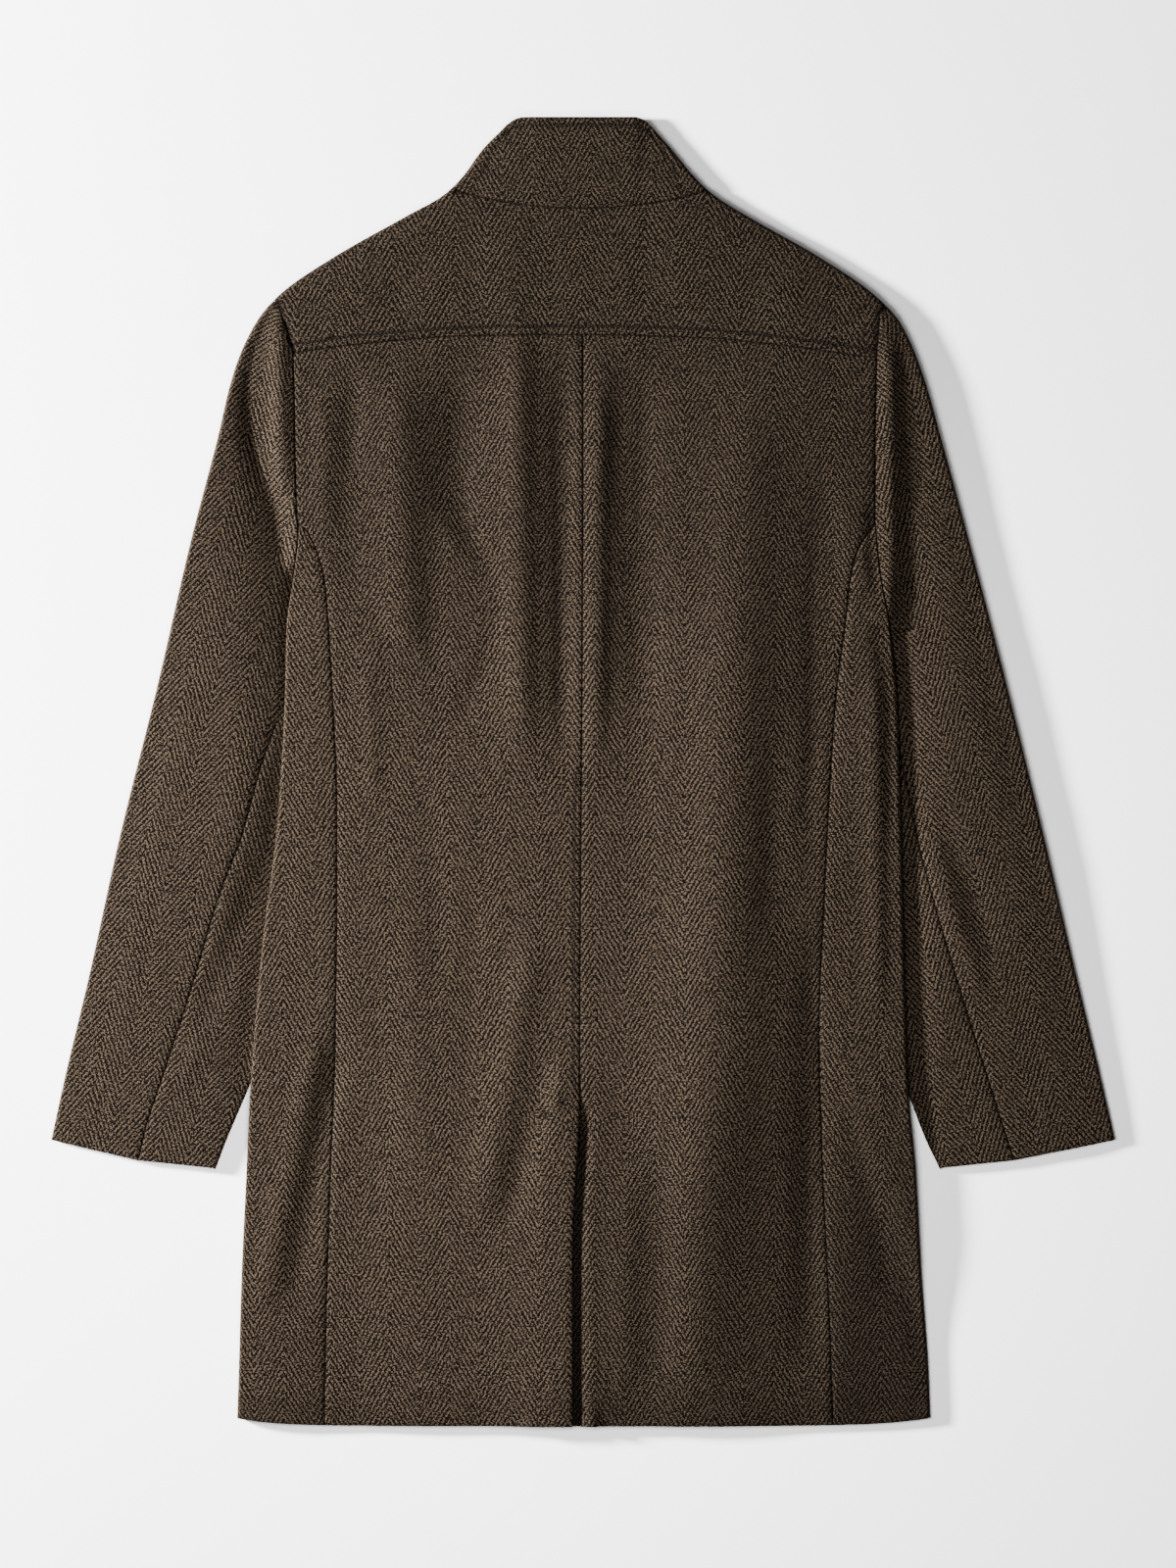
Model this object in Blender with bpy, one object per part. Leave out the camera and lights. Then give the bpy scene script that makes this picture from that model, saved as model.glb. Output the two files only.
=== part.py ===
"""A herringbone wool topcoat with a stand collar, laid flat on its front.

Lengths are in millimetres until a mesh is finished. x runs from the centre back seam to the
wearer's right, y runs up from the hem to the collar, and z up from the surface the coat lies on.
A place on one half of the coat is given by its distance from the centre back seam, so the same
lines serve both halves. Every piece of cloth is a closed wall: a grid of points on its outer face,
the same grid a wall's thickness inside it, and the cut edge between them.

From the surface up lie the sleeves and the fronts, then the front edges that lie over the sleeves,
and the back. The sleeves' inner halves are tucked under the fronts, as they fall on a real coat.
"""

import math
from collections import namedtuple

import bmesh
import bpy
from mathutils import Vector

MM = 0.001

# Cloth
WALL = 2.6
COLLAR_WALL = 3.4
GAP = 0.3
HALF_GAP = GAP / 2

# Main sizes
LENGTH = 1031.0
ORIGIN_Y = LENGTH / 2
NECK_Y = {"left": 977.0, "right": 975.0}
SHOULDER_Y = {"left": 887.0, "right": 883.0}
COLLAR_TOP_Y = 1024.0
COLLAR_TOP_X = -3.5
SIDE_TOP_Y = 705.0
TIP_Y = {"left": 676.0, "right": 631.0}
VENT_TOP_Y = 266.0
VENT_UNDERLAP = 42.0
FRONT_OVERLAP = 28.0
SIDE_SEAM_BENEATH = (228.0, 182.0)
YOKE_WRAP = 15.0
CAP_Y = 655.0
CAP_MARGIN = 3.0

# Layers under the back
TUCKED_SLEEVE = 2 * WALL + GAP
LIFT = TUCKED_SLEEVE + GAP
LIFT_MARGIN = 16.0
LIFT_RAMP = 20.0
LIFT_TOP_Y = (745.0, 800.0)
OVERLAP_RAMP = 12.0

# Folded edges
SHOULDER_ROLL = 6.0
SIDE_ROLL = 7.0
TUCKED_ROLL = 2.7
ROLL_STEPS = 6
SHOULDER_STEPS = 5

Line = namedtuple("Line", "y left right")

# The outer edge of the sleeve, the shoulder and the collar, from the cuff up
OUTLINE = (
    Line(226, 419, 419),
    Line(276, 408, 407.5),
    Line(353, 389.5, 389),
    Line(468, 364, 362),
    Line(584, 335, 333.5),
    Line(699, 308, 303.5),
    Line(776, 288, 282.5),
    Line(830, 275, 267),
    Line(869, 258, 250),
    Line(892, 238.5, 228.5),
    Line(922, 195, 184.5),
    Line(953, 140, 130),
    Line(970, 110, 103),
    Line(984, 95.5, 88),
    Line(1007, 78.5, 69),
    Line(1027, 58, 51),
)
# The body's side fold, and above its tip the bottom of the armhole
EDGE = (
    Line(0, 272.5, 273.5),
    Line(45, 271, 272),
    Line(122, 268.7, 266.4),
    Line(199, 265, 262),
    Line(276, 261, 255),
    Line(386, 254, 249.5),
    Line(474, 243.5, 247),
    Line(572, 238, 245),
    Line(631, 235, 239.5),
    Line(676, 228.7, 232.5),
    Line(705, 225, 229.8),
    Line(712, 224.5, 229.5),
)
SIDE_SEAM = (
    Line(0, 203.5, 196.5),
    Line(82, 202, 194),
    Line(150, 200, 191),
    Line(199, 198.5, 188.7),
    Line(314, 194.5, 185.6),
    Line(425, 193.3, 190),
    Line(494, 193.3, 193.3),
    Line(572, 196.4, 198.5),
    Line(636, 200.2, 206.5),
    Line(668, 203.2, 210.2),
    Line(690, 209.4, 216),
    Line(705, 216.4, 224.5),
)
ARMHOLE = (
    Line(712, 224.5, 229.5),
    Line(770, 226.5, 229.5),
    Line(811, 227, 230),
    Line(845, 228, 231),
)
# The sleeve's inner fold, tucked under the front, and the end of its cap above CAP_Y
REACH = (
    Line(203, 289.5, 281),
    Line(227, 280.3, 269.5),
    Line(273, 261, 252.5),
    Line(350, 232, 226),
    Line(468, 185, 181),
    Line(584, 139, 137),
    Line(CAP_Y, 113, 112),
    Line(678, 130, 130),
    Line(700, 150, 150),
    Line(745, 180, 180),
    Line(760, 188, 188),
)
BACK_SLEEVE_SEAM = (
    Line(210, 350, 339.5),
    Line(238, 343.4, 330.3),
    Line(272, 332, 319.5),
    Line(353, 305.7, 294),
    Line(419, 285.7, 274.5),
    Line(464, 268.7, 263),
    Line(523, 252.6, 251),
    Line(560, 240, 242),
    Line(600, 231, 236),
    Line(660, 225.5, 233),
)
# The sleeve's seam beneath, and above CAP_Y the front half of the armhole
FRONT_SLEEVE_SEAM = (
    Line(200, 312.5, 304),
    Line(CAP_Y, 135, 134),
    Line(700, 160, 160),
    Line(745, 186, 186),
    Line(760, 192, 192),
    Line(800, 205, 205),
    Line(845, 222, 221),
)

# How high the back lies: along its middle and over each side
Rise = namedtuple("Rise", "y middle left right")
BACK_RISE = (
    Rise(0, 9.0, 11.4, 11.8),
    Rise(100, 9.6, 12.3, 12.6),
    Rise(266, 10.0, 13.2, 13.2),
    Rise(400, 9.8, 13.6, 13.6),
    Rise(700, 9.8, 13.6, 13.6),
    Rise(800, 9.8, 12.4, 12.4),
    Rise(860, 9.7, 11.0, 11.0),
    Rise(900, 9.5, 9.6, 9.6),
    Rise(960, 9.2, 9.2, 9.2),
    Rise(1031, 8.4, 8.4, 8.4),
)
# How high a sleeve's round stands, and the valley between it and the armhole or the body
Sleeve = namedtuple("Sleeve", "y crest width")
SLEEVE_RISE = (
    Sleeve(205, 6.6, 30),
    Sleeve(276, 8.2, 40),
    Sleeve(353, 11.0, 50),
    Sleeve(468, 13.6, 55),
    Sleeve(584, 14.4, 50),
    Sleeve(776, 14.4, 28),
    Sleeve(830, 12.4, 16),
    Sleeve(890, 9.0, 10),
)
Valley = namedtuple("Valley", "y left right left_z right_z")
VALLEY = (
    Valley(631, 237, 245, 5.5, 5.5),
    Valley(657, 235, 253, 5.5, 5.5),
    Valley(676, 235, 257, 5.5, 5.6),
    Valley(699, 240, 260, 6.0, 6.0),
    Valley(722, 245, 262, 7.0, 6.8),
    Valley(745, 249, 263, 8.2, 7.6),
    Valley(776, 253, 263, 9.8, 9.2),
    Valley(814, 254, 257, 10.6, 10.0),
    Valley(850, 250, 249, 10.2, 9.6),
    Valley(890, 240, 235, 9.0, 9.0),
)

# Soft folds of the back and the sleeves, each along a line from one end to the other
Fold = namedtuple("Fold", "x0 y0 x1 y1 width height")
BACK_FOLDS = (
    Fold(-204, 820, -203, 690, 9, 1.4),
    Fold(-181, 850, -181, 640, 9, -1.7),
    Fold(-146, 850, -139, 590, 17, 2.9),
    Fold(-96, 858, -98, 530, 15, -3.2),
    Fold(-51, 900, -48, 500, 13, 3.5),
    Fold(-15, 858, -16, 510, 9, -2.6),
    Fold(14, 858, 10, 500, 9, 2.6),
    Fold(43, 858, 48, 560, 15, -2.3),
    Fold(132, 850, 104, 290, 30, 3.8),
    Fold(104, 330, 84, 10, 30, 4.6),
    Fold(190, 770, 187, 420, 13, -2.9),
    Fold(187, 420, 178, 20, 16, -3.2),
    Fold(222, 610, 222, 300, 9, 2.0),
    Fold(205, 320, 248, 90, 9, -2.3),
    Fold(222, 300, 262, 140, 10, 2.0),
    Fold(-205, 330, -254, 80, 8, 1.7),
    Fold(-187, 330, -232, 75, 10, -2.3),
    Fold(-36, 400, -84, 150, 12, 3.5),
    Fold(-28, 305, -64, 150, 8, -2.6),
    Fold(-24, 420, -24, -140, 42, 2.4),
    Fold(33, 220, 33, 10, 12, 1.7),
    Fold(64, 240, 60, 10, 14, -1.3),
)
SLEEVE_FOLDS = {
    "left": (
        Fold(-243, 455, -304, 300, 11, -2.9),
        Fold(-262, 400, -318, 262, 9, 1.2),
    ),
    "right": (
        Fold(262, 480, 318, 330, 9, 1.7),
        Fold(276, 500, 330, 360, 9, -1.3),
    ),
}
FOLD_FADE = 0.22

COLLAR_SEAM = ((-98.5, 972.7), (-70, 965.8), (-40, 961.2), (0, 959), (40, 961.4), (70, 965.8), (92.5, 970.8))
YOKE_SEAM = ((-228, 845), (-175, 852), (-89, 858.6), (0, 859.6), (96, 857), (165, 850), (231, 841))
FRONT_NECK = ((84, 945), (68, 922), (54, 912), (40, 905), (28, 902.8), (1.5, 900.5))
COLLAR_FRONT_TOP = ((53, 1008), (47, 997), (40, 986), (32, 976), (23, 967), (14, 960), (1.5, 956))

BODY_ROWS = (0, 25, 62, 100, 140, 180, 222, 266, 300, 340, 380, 420, 460, 500, 540, 580, 610, 631, 655, 676, 692)
CLOTH_COLOUR = (0.066, 0.046, 0.032, 1.0)
CLOTH_ROUGHNESS = 0.95
SHARP_ANGLE = math.radians(45)


class Curve:
    """A smooth line through a table's points."""

    def __init__(self, points):
        self.points = [tuple(map(float, point)) for point in points]
        steps = [
            (after[1] - before[1]) / (after[0] - before[0])
            for before, after in zip(self.points, self.points[1:])
        ]
        inner = [
            0.0 if before * after <= 0 else 2 * before * after / (before + after)
            for before, after in zip(steps, steps[1:])
        ]
        self.slopes = [steps[0], *inner, steps[-1]]

    def __call__(self, place):
        points = self.points
        first = 0
        while first < len(points) - 2 and place > points[first + 1][0]:
            first += 1
        (start, low), (end, high) = points[first], points[first + 1]
        span = end - start
        part = (place - start) / span
        if part < 0:
            return low + self.slopes[first] * (place - start)
        if part > 1:
            return high + self.slopes[first + 1] * (place - end)
        rest = 1 - part
        return (
            rest * rest * (1 + 2 * part) * low
            + part * part * (1 + 2 * rest) * high
            + span * part * rest * (rest * self.slopes[first] - part * self.slopes[first + 1])
        )

    def slope(self, place):
        return self(place + 0.5) - self(place - 0.5)


def table_curve(rows, column):
    return Curve([(row.y, getattr(row, column)) for row in rows])


def straight_lines(rows, column):
    """The straight lines between a table's points."""
    points = [(row.y, getattr(row, column)) for row in rows]

    def at(place):
        first = 0
        while first < len(points) - 2 and place > points[first + 1][0]:
            first += 1
        (start, low), (end, high) = points[first], points[first + 1]
        return low + (high - low) * (place - start) / (end - start)

    return at


def mix(low, high, part):
    return low + (high - low) * part


def smooth(part):
    part = min(1.0, max(0.0, part))
    return part * part * (3 - 2 * part)


def smooth_maximum(first, second, blend=1.0):
    """The larger of two heights, rounded where they cross and never below either."""
    ahead = first - second
    if abs(ahead) >= blend:
        return max(first, second)
    return second + (ahead + blend) ** 2 / (4 * blend)


def fold_height(fold, place):
    """The height of one soft fold at a place: round across its line, fading at both ends."""
    start = Vector((fold.x0, fold.y0))
    run = Vector((fold.x1, fold.y1)) - start
    along = (place - start).dot(run) / run.length_squared
    if not 0 < along < 1:
        return 0.0
    across = (place - start - run * along).length / fold.width
    fade = smooth(min(along, 1 - along) / FOLD_FADE)
    return fold.height * fade * math.exp(-across * across)


class Half:
    """The lines of the left or the right half, as distances from the centre back seam."""

    def __init__(self, name):
        self.name = name
        self.sign = -1 if name == "left" else 1
        self.outline = table_curve(OUTLINE, name)
        self.edge = table_curve(EDGE, name)
        self.side_seam = table_curve(SIDE_SEAM, name)
        self.armhole = table_curve(ARMHOLE, name)
        self.reach = table_curve(REACH, name)
        self.back_sleeve_seam = table_curve(BACK_SLEEVE_SEAM, name)
        self.front_sleeve_seam = straight_lines(FRONT_SLEEVE_SEAM, name)
        self.valley = table_curve(VALLEY, name)
        self.valley_z = table_curve(VALLEY, name + "_z")
        self.tip_y = TIP_Y[name]
        self.neck_y = NECK_Y[name]
        self.shoulder_y = SHOULDER_Y[name]

    def at(self, across, y):
        return Vector((self.sign * across, y))

    def across(self, place):
        return self.sign * place.x

    def on_outline(self, y):
        """A point of the outer edge and the way in from it, level with the cloth."""
        return self.at(self.outline(y), y), self.at(-1, self.outline.slope(y)).normalized()

    def armhole_across(self, y):
        """The seam between the sleeve and the body's upper face."""
        return self.edge(y) if y < ARMHOLE[0].y else self.armhole(y)


HALVES = {name: Half(name) for name in ("left", "right")}
BACK_MIDDLE = table_curve(BACK_RISE, "middle")
BACK_SIDE = {name: table_curve(BACK_RISE, name) for name in HALVES}
SLEEVE_CREST = table_curve(SLEEVE_RISE, "crest")
SLEEVE_WIDTH = table_curve(SLEEVE_RISE, "width")
COLLAR_SEAM_Y = Curve(COLLAR_SEAM)
YOKE_SEAM_Y = Curve(YOKE_SEAM)


def half_of(place):
    return HALVES["left" if place.x < 0 else "right"]


def lifted(half, place, margin=LIFT_MARGIN, ramp=LIFT_RAMP):
    """How far the tucked sleeve lifts what lies on it: 1 over the sleeve, 0 clear of it."""
    inside = half.across(place) - (half.reach(min(place.y, REACH[-1].y)) - margin - ramp)
    fade = 1 - smooth((place.y - LIFT_TOP_Y[0]) / (LIFT_TOP_Y[1] - LIFT_TOP_Y[0]))
    return smooth(inside / ramp) * fade


def front_under(place, side):
    """The height of a front's lower face."""
    height = LIFT * lifted(half_of(place), place)
    if side == "right":
        height += (WALL + GAP) * smooth((FRONT_OVERLAP + OVERLAP_RAMP - place.x) / OVERLAP_RAMP)
    return height


def pile_height(place):
    """The least height at which the back clears the layers beneath it."""
    height = LIFT * lifted(half_of(place), place, LIFT_MARGIN + 22, 45) + 2 * WALL + GAP
    height += (WALL + GAP) * smooth((FRONT_OVERLAP + 30 - abs(place.x)) / 20)
    if place.y < VENT_TOP_Y + 20:
        height += (WALL + 2 * GAP) * smooth((VENT_UNDERLAP + 16 + place.x) / 14) * smooth((16 - place.x) / 8)
    return height


def back_height(place):
    """The height of the back's outer face."""
    half = half_of(place)
    across = half.across(place)
    side = BACK_SIDE[half.name](place.y)
    height = mix(BACK_MIDDLE(place.y), side, smooth((across - 70) / 110))
    height += sum(fold_height(fold, place) for fold in BACK_FOLDS)
    if place.y < half.tip_y:
        height *= mix(0.93, 1.0, smooth((half.edge(place.y) - across) / 26))
    if place.y > half.shoulder_y:
        height *= mix(0.9, 1.0, smooth((half.outline(place.y) - across) / 40))
    return smooth_maximum(height, pile_height(place) + 0.2)


def sleeve_height(half, place):
    """The height of a sleeve's upper face, from its round to the valley beside the body."""
    across, y = half.across(place), place.y
    crest = SLEEVE_CREST(y) * mix(0.82, 1.0, smooth((half.outline(y) - across) / 36))
    crest += sum(fold_height(fold, place) for fold in SLEEVE_FOLDS[half.name])
    if y < half.tip_y or across < half.armhole_across(y):
        out = smooth((across - half.edge(y) - 2) / SLEEVE_WIDTH(y))
        return TUCKED_SLEEVE + max(0.0, crest - TUCKED_SLEEVE) * out
    valley, floor = half.valley(y), half.valley_z(y)
    if across >= valley:
        return mix(floor, crest, smooth((across - valley) / SLEEVE_WIDTH(y)))
    seam = half.armhole_across(y)
    joined = back_height(half.at(seam, y))
    return mix(floor, joined, smooth((valley - across) / max(4.0, valley - seam)))


def flat(place, height):
    return (place.x, place.y - ORIGIN_Y, height)


def fold_point(step, counts, top_seam, crease, inward, radius, under_seam, high, low, depth):
    """One point of a piece that runs over a fold.

    It goes from the seam on top, over the round of the fold, to the seam beneath. high and low
    give the height of its upper and lower faces at a place, and depth goes into the wall.
    """
    on_top, round_fold, beneath = counts
    turn = crease + inward * radius
    if step <= on_top:
        place = top_seam.lerp(turn, step / on_top)
        return flat(place, high(place) - depth)
    if step < on_top + round_fold:
        angle = math.pi * (0.5 - (step - on_top) / round_fold)
        half_height = (high(turn) - low(turn)) / 2
        place = turn - inward * (radius - depth) * math.cos(angle)
        return flat(place, low(turn) + half_height + (half_height - depth) * math.sin(angle))
    place = turn.lerp(under_seam, (step - on_top - round_fold) / beneath)
    return flat(place, low(place) + depth)


def cloth_material():
    material = bpy.data.materials.new("wool_herringbone")
    material.use_nodes = True
    shader = material.node_tree.nodes["Principled BSDF"]
    shader.inputs["Base Color"].default_value = CLOTH_COLOUR
    shader.inputs["Roughness"].default_value = CLOTH_ROUGHNESS
    return material


def piece(name, columns, rows, point, wall=WALL, keep=None):
    """Close one piece of cloth from its grid, where point(column, row, depth) gives a place."""
    mesh = bmesh.new()
    bmesh.ops.create_grid(mesh, x_segments=columns, y_segments=rows, size=0.5)
    if keep:
        cut_away = []
        for face in mesh.faces:
            middle = face.calc_center_median()
            if not keep(int((middle.x + 0.5) * columns), int((middle.y + 0.5) * rows)):
                cut_away.append(face)
        bmesh.ops.delete(mesh, geom=cut_away, context="FACES")
    outer = set(mesh.verts)
    bmesh.ops.extrude_face_region(mesh, geom=mesh.faces[:], use_keep_orig=True)
    for vert in mesh.verts:
        column = round((vert.co.x + 0.5) * columns)
        row = round((vert.co.y + 0.5) * rows)
        vert.co = Vector(point(column, row, 0.0 if vert in outer else wall)) * MM
    bmesh.ops.recalc_face_normals(mesh, faces=mesh.faces[:])
    if mesh.calc_volume(signed=True) < 0:
        bmesh.ops.reverse_faces(mesh, faces=mesh.faces[:])
    data = bpy.data.meshes.new(name)
    mesh.to_mesh(data)
    mesh.free()
    data.materials.append(cloth_material())
    data.shade_smooth()
    data.set_sharp_from_angle(angle=SHARP_ANGLE)
    bpy.context.scene.collection.objects.link(bpy.data.objects.new(name, data))


def hem_y(place):
    """The hem, turned up a little towards its corners."""
    return 1.0 + 6.0 * (abs(place.x) / 272.0) ** 8


def body_row(row):
    return BODY_ROWS[row] if row < len(BODY_ROWS) else SIDE_TOP_Y


def centre_seam(y):
    """The centre back seam, and below the vent the edge of its upper flap."""
    return -2.6 * smooth((750 - y) / 500) - 5.4 * smooth((VENT_TOP_Y - y) / 130)


def back_panel(half):
    """One half of the back below the yoke. The right one runs on under the vent."""
    columns, upper = 24, 6
    lower = len(BODY_ROWS)
    rows = lower + upper
    underlap = 5 if half.name == "right" else 0
    vent_rows = BODY_ROWS.index(VENT_TOP_Y)

    def outer_seam(y):
        if y <= SIDE_TOP_Y:
            return half.side_seam(y) - HALF_GAP
        rise = min(1.0, (y - SIDE_TOP_Y) / (ARMHOLE[0].y - SIDE_TOP_Y))
        return mix(half.side_seam(SIDE_TOP_Y), half.armhole_across(max(y, ARMHOLE[0].y)), rise) - GAP

    def level(row, x):
        if row < lower:
            return BODY_ROWS[row] if row else hem_y(Vector((x, 0)))
        if row == lower:
            return SIDE_TOP_Y + HALF_GAP
        part = (row - lower) / upper
        return mix(ARMHOLE[0].y, YOKE_SEAM_Y(x) - HALF_GAP, (part * upper - 1) / (upper - 1))

    def point(column, row, depth):
        part = (column - underlap) / columns
        flap = BODY_ROWS[row] <= VENT_TOP_Y if row < lower else False
        y = level(row, half.sign * half.side_seam(400) * max(part, 0))
        seam = centre_seam(y) + half.sign * (HALF_GAP if not flap else (1.0 if underlap else 0.0))
        outer = half.sign * outer_seam(y)
        if part >= 0:
            x = mix(seam, outer, part)
        else:
            x = seam - VENT_UNDERLAP * -part * columns / underlap
        place = Vector((x, level(row, x)))
        height = back_height(place)
        if underlap and row <= vent_rows:
            tucked = smooth((centre_seam(y) + 11 - x) / 10)
            height -= (WALL + 2 * GAP) * tucked * smooth((VENT_TOP_Y + 1 - y) / 30)
            if part < 0:
                height = back_height(place) - WALL - 2 * GAP
        return flat(place, height - depth)

    def keep(column, row):
        return column >= underlap or row < vent_rows - 1

    piece(f"back_{half.name}", columns + underlap, rows, point, keep=keep if underlap else None)


def side_seam_beneath(y):
    """The straight seam between side and front, on the underside."""
    return mix(*SIDE_SEAM_BENEATH, y / SIDE_TOP_Y)


def side_panel(half):
    """The panel between back and front, folded round the side of the body."""
    counts = (5, ROLL_STEPS, 3)
    columns = sum(counts)
    rows = len(BODY_ROWS)

    def point(column, row, depth):
        y = body_row(row)
        edge, seam = half.edge(y), half.side_seam(y) + HALF_GAP
        radius = mix(SIDE_ROLL, 1.0, smooth((y - half.tip_y + 40) / 40))
        x, y_out, z = fold_point(
            column,
            counts,
            half.at(seam, y),
            half.at(edge, y),
            half.at(-1, 0),
            radius,
            half.at(side_seam_beneath(y), y),
            back_height,
            lambda place: front_under(place, "left"),
            depth,
        )
        if row == 0:
            y_out = hem_y(Vector((x, 0))) - ORIGIN_Y
        if row == rows:
            y_out += (ARMHOLE[0].y - SIDE_TOP_Y) * smooth((abs(x) - seam) / (edge - seam)) * 0.9
        return x, y_out, z

    piece(f"side_{half.name}", columns, rows, point)


def shoulder_stations(half):
    start, end = half.shoulder_y + 0.4, half.neck_y - 0.4
    return [mix(start, end, step / SHOULDER_STEPS) for step in range(SHOULDER_STEPS + 1)]


def shoulder_under(half, y):
    """The shoulder seam beneath, where the yoke meets the front."""
    crease, inward = half.on_outline(y)
    return crease + inward * YOKE_WRAP


def front_panel(half):
    """A front, lying on the surface and over the tucked sleeve. The left one is outermost."""
    levels = (0, 60, 130, 200, 266, 330, 395, 460, 525, 590, 655, 678, SIDE_TOP_Y + GAP, 722, 745, 760)
    upper = 4
    rows = len(levels) - 1 + upper
    top = [shoulder_under(half, y) + half.on_outline(y)[1] * GAP for y in shoulder_stations(half)]
    top += [half.at(across + GAP, y - GAP) for across, y in FRONT_NECK[:-1]]
    top += [half.at(-FRONT_OVERLAP, 897.6)]
    columns = len(top) - 1

    def armhole(y):
        if y <= SIDE_TOP_Y:
            return side_seam_beneath(y) - GAP
        if y < 745:
            return mix(SIDE_SEAM_BENEATH[1], half.front_sleeve_seam(745), (y - SIDE_TOP_Y) / 40) - GAP
        return half.front_sleeve_seam(y) - GAP

    def lower_row(y):
        seam = armhole(y)
        full = min(half.reach(y) - LIFT_MARGIN, seam - 9)
        clear = min(full - LIFT_RAMP, seam - 30)
        overlap = FRONT_OVERLAP + OVERLAP_RAMP
        spans = ((seam, full, 3), (full, clear, 2), (clear, overlap, 4), (overlap, FRONT_OVERLAP, 1))
        line = [mix(start, end, step / steps) for start, end, steps in spans for step in range(steps)]
        return line + [mix(FRONT_OVERLAP, -FRONT_OVERLAP, step / 1.0) for step in range(2)]

    def point(column, row, depth):
        y = levels[min(row, len(levels) - 1)]
        place = half.at(lower_row(y)[column], y)
        if row == 0:
            place.y = hem_y(place)
        if row >= len(levels):
            part = (row - len(levels) + 1) / upper
            place = place.lerp(top[column], part)
            if column == 0 and part < 1:
                place = half.at(armhole(place.y), place.y)
        return flat(place, front_under(place, half.name) + depth)

    piece(f"front_{half.name}", columns, rows, point)


def yoke():
    """The yoke, from the seam across the back to the collar and over both shoulders."""
    counts = (5, ROLL_STEPS, 1)
    neck_steps = 12
    left, right = ([(half, y) for y in shoulder_stations(half)] for half in HALVES.values())
    right = right[::-1]
    span = COLLAR_SEAM[-1][0] - COLLAR_SEAM[0][0]
    middle = [COLLAR_SEAM[0][0] + span * step / neck_steps for step in range(1, neck_steps)]
    columns = len(left) + len(middle) + len(right) - 1
    first, last = YOKE_SEAM[0][0] + GAP, YOKE_SEAM[-1][0] - GAP
    x_left = left[0][0].on_outline(left[0][1])[0].x
    x_right = right[-1][0].on_outline(right[-1][1])[0].x

    def point(column, row, depth):
        if len(left) <= column < len(left) + len(middle):
            x = middle[column - len(left)]
            crease = Vector((x, COLLAR_SEAM_Y(x) - HALF_GAP))
            inward, radius, under = Vector((0, -1)), 0.0, crease
        else:
            half, y = (left + [None] * len(middle) + right)[column]
            crease, inward = half.on_outline(y)
            radius, under = SHOULDER_ROLL, shoulder_under(half, y)
        seam_x = mix(first, last, (crease.x - x_left) / (x_right - x_left))
        seam = Vector((seam_x, YOKE_SEAM_Y(seam_x) + HALF_GAP))
        if row < counts[0]:
            place = seam.lerp(crease + inward * (radius + CAP_MARGIN), row / (counts[0] - 1))
            return flat(place, back_height(place) - depth)
        return fold_point(
            row, counts, seam, crease, inward, radius, under, back_height, lambda place: 0.0, depth
        )

    def keep(column, row):
        return row < counts[0] or not len(left) - 1 <= column < len(left) + len(middle)

    piece("back_yoke", columns, sum(counts), point, keep=keep)


def collar():
    """The stand collar, folded flat at both sides, its ends meeting at the centre front."""
    neck_steps = 8
    counts = (neck_steps, ROLL_STEPS, len(FRONT_NECK) + 1)
    reach = sum(counts)
    rows = 5

    middle_x = (COLLAR_SEAM[0][0] + COLLAR_SEAM[-1][0]) / 2

    def neck_turn(half):
        crease, inward = half.on_outline(half.neck_y + 0.4)
        return crease + inward * SHOULDER_ROLL

    def top_edge(place):
        corner = max(0.0, abs(place.x - COLLAR_TOP_X) - 44) / 10
        return LENGTH - 8 * corner * corner

    def point(column, row, depth):
        half = HALVES["left" if column < reach else "right"]
        step = abs(column - reach)
        part = row / rows
        y = mix(half.neck_y + 0.4, COLLAR_TOP_Y, part)
        crease, inward = half.on_outline(y)
        if row == rows:
            inward = half.at(-1, 0)
        turn = crease + inward * SHOULDER_ROLL
        if step < neck_steps:
            share = step / neck_steps
            base = Vector((mix(middle_x, neck_turn(half).x, share), 0))
            base.y = COLLAR_SEAM_Y(base.x) + HALF_GAP
            head = Vector((mix(COLLAR_TOP_X, half.at(half.outline(COLLAR_TOP_Y) - SHOULDER_ROLL, 0).x, share), 0))
            head.y = top_edge(head)
            place = base.lerp(head, part)
            return flat(place, back_height(place) - depth)
        if step < neck_steps + ROLL_STEPS:
            return fold_point(
                step, counts, crease, crease, inward, SHOULDER_ROLL, crease, back_height, lambda place: 0.0, depth
            )
        index = step - neck_steps - ROLL_STEPS
        if index == 0:
            return flat(turn, depth)
        base_turn = half.on_outline(half.neck_y + 0.4)
        base = [base_turn[0] + base_turn[1] * (YOKE_WRAP + GAP)] + [half.at(*spot) for spot in FRONT_NECK]
        place = base[index - 1].lerp(half.at(*COLLAR_FRONT_TOP[index - 1]), part)
        return flat(place, depth)

    piece("collar", 2 * reach, rows, point, wall=COLLAR_WALL)


def sleeve_seam_beneath(half, seam_y):
    """How far up the seam beneath lies the station that belongs to one of the seam on top."""
    cap = half.tip_y - 11
    if seam_y <= cap:
        return mix(206, CAP_Y, (seam_y - 210) / (cap - 210))
    return mix(CAP_Y, 845, (seam_y - cap) / (845 - cap))


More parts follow.
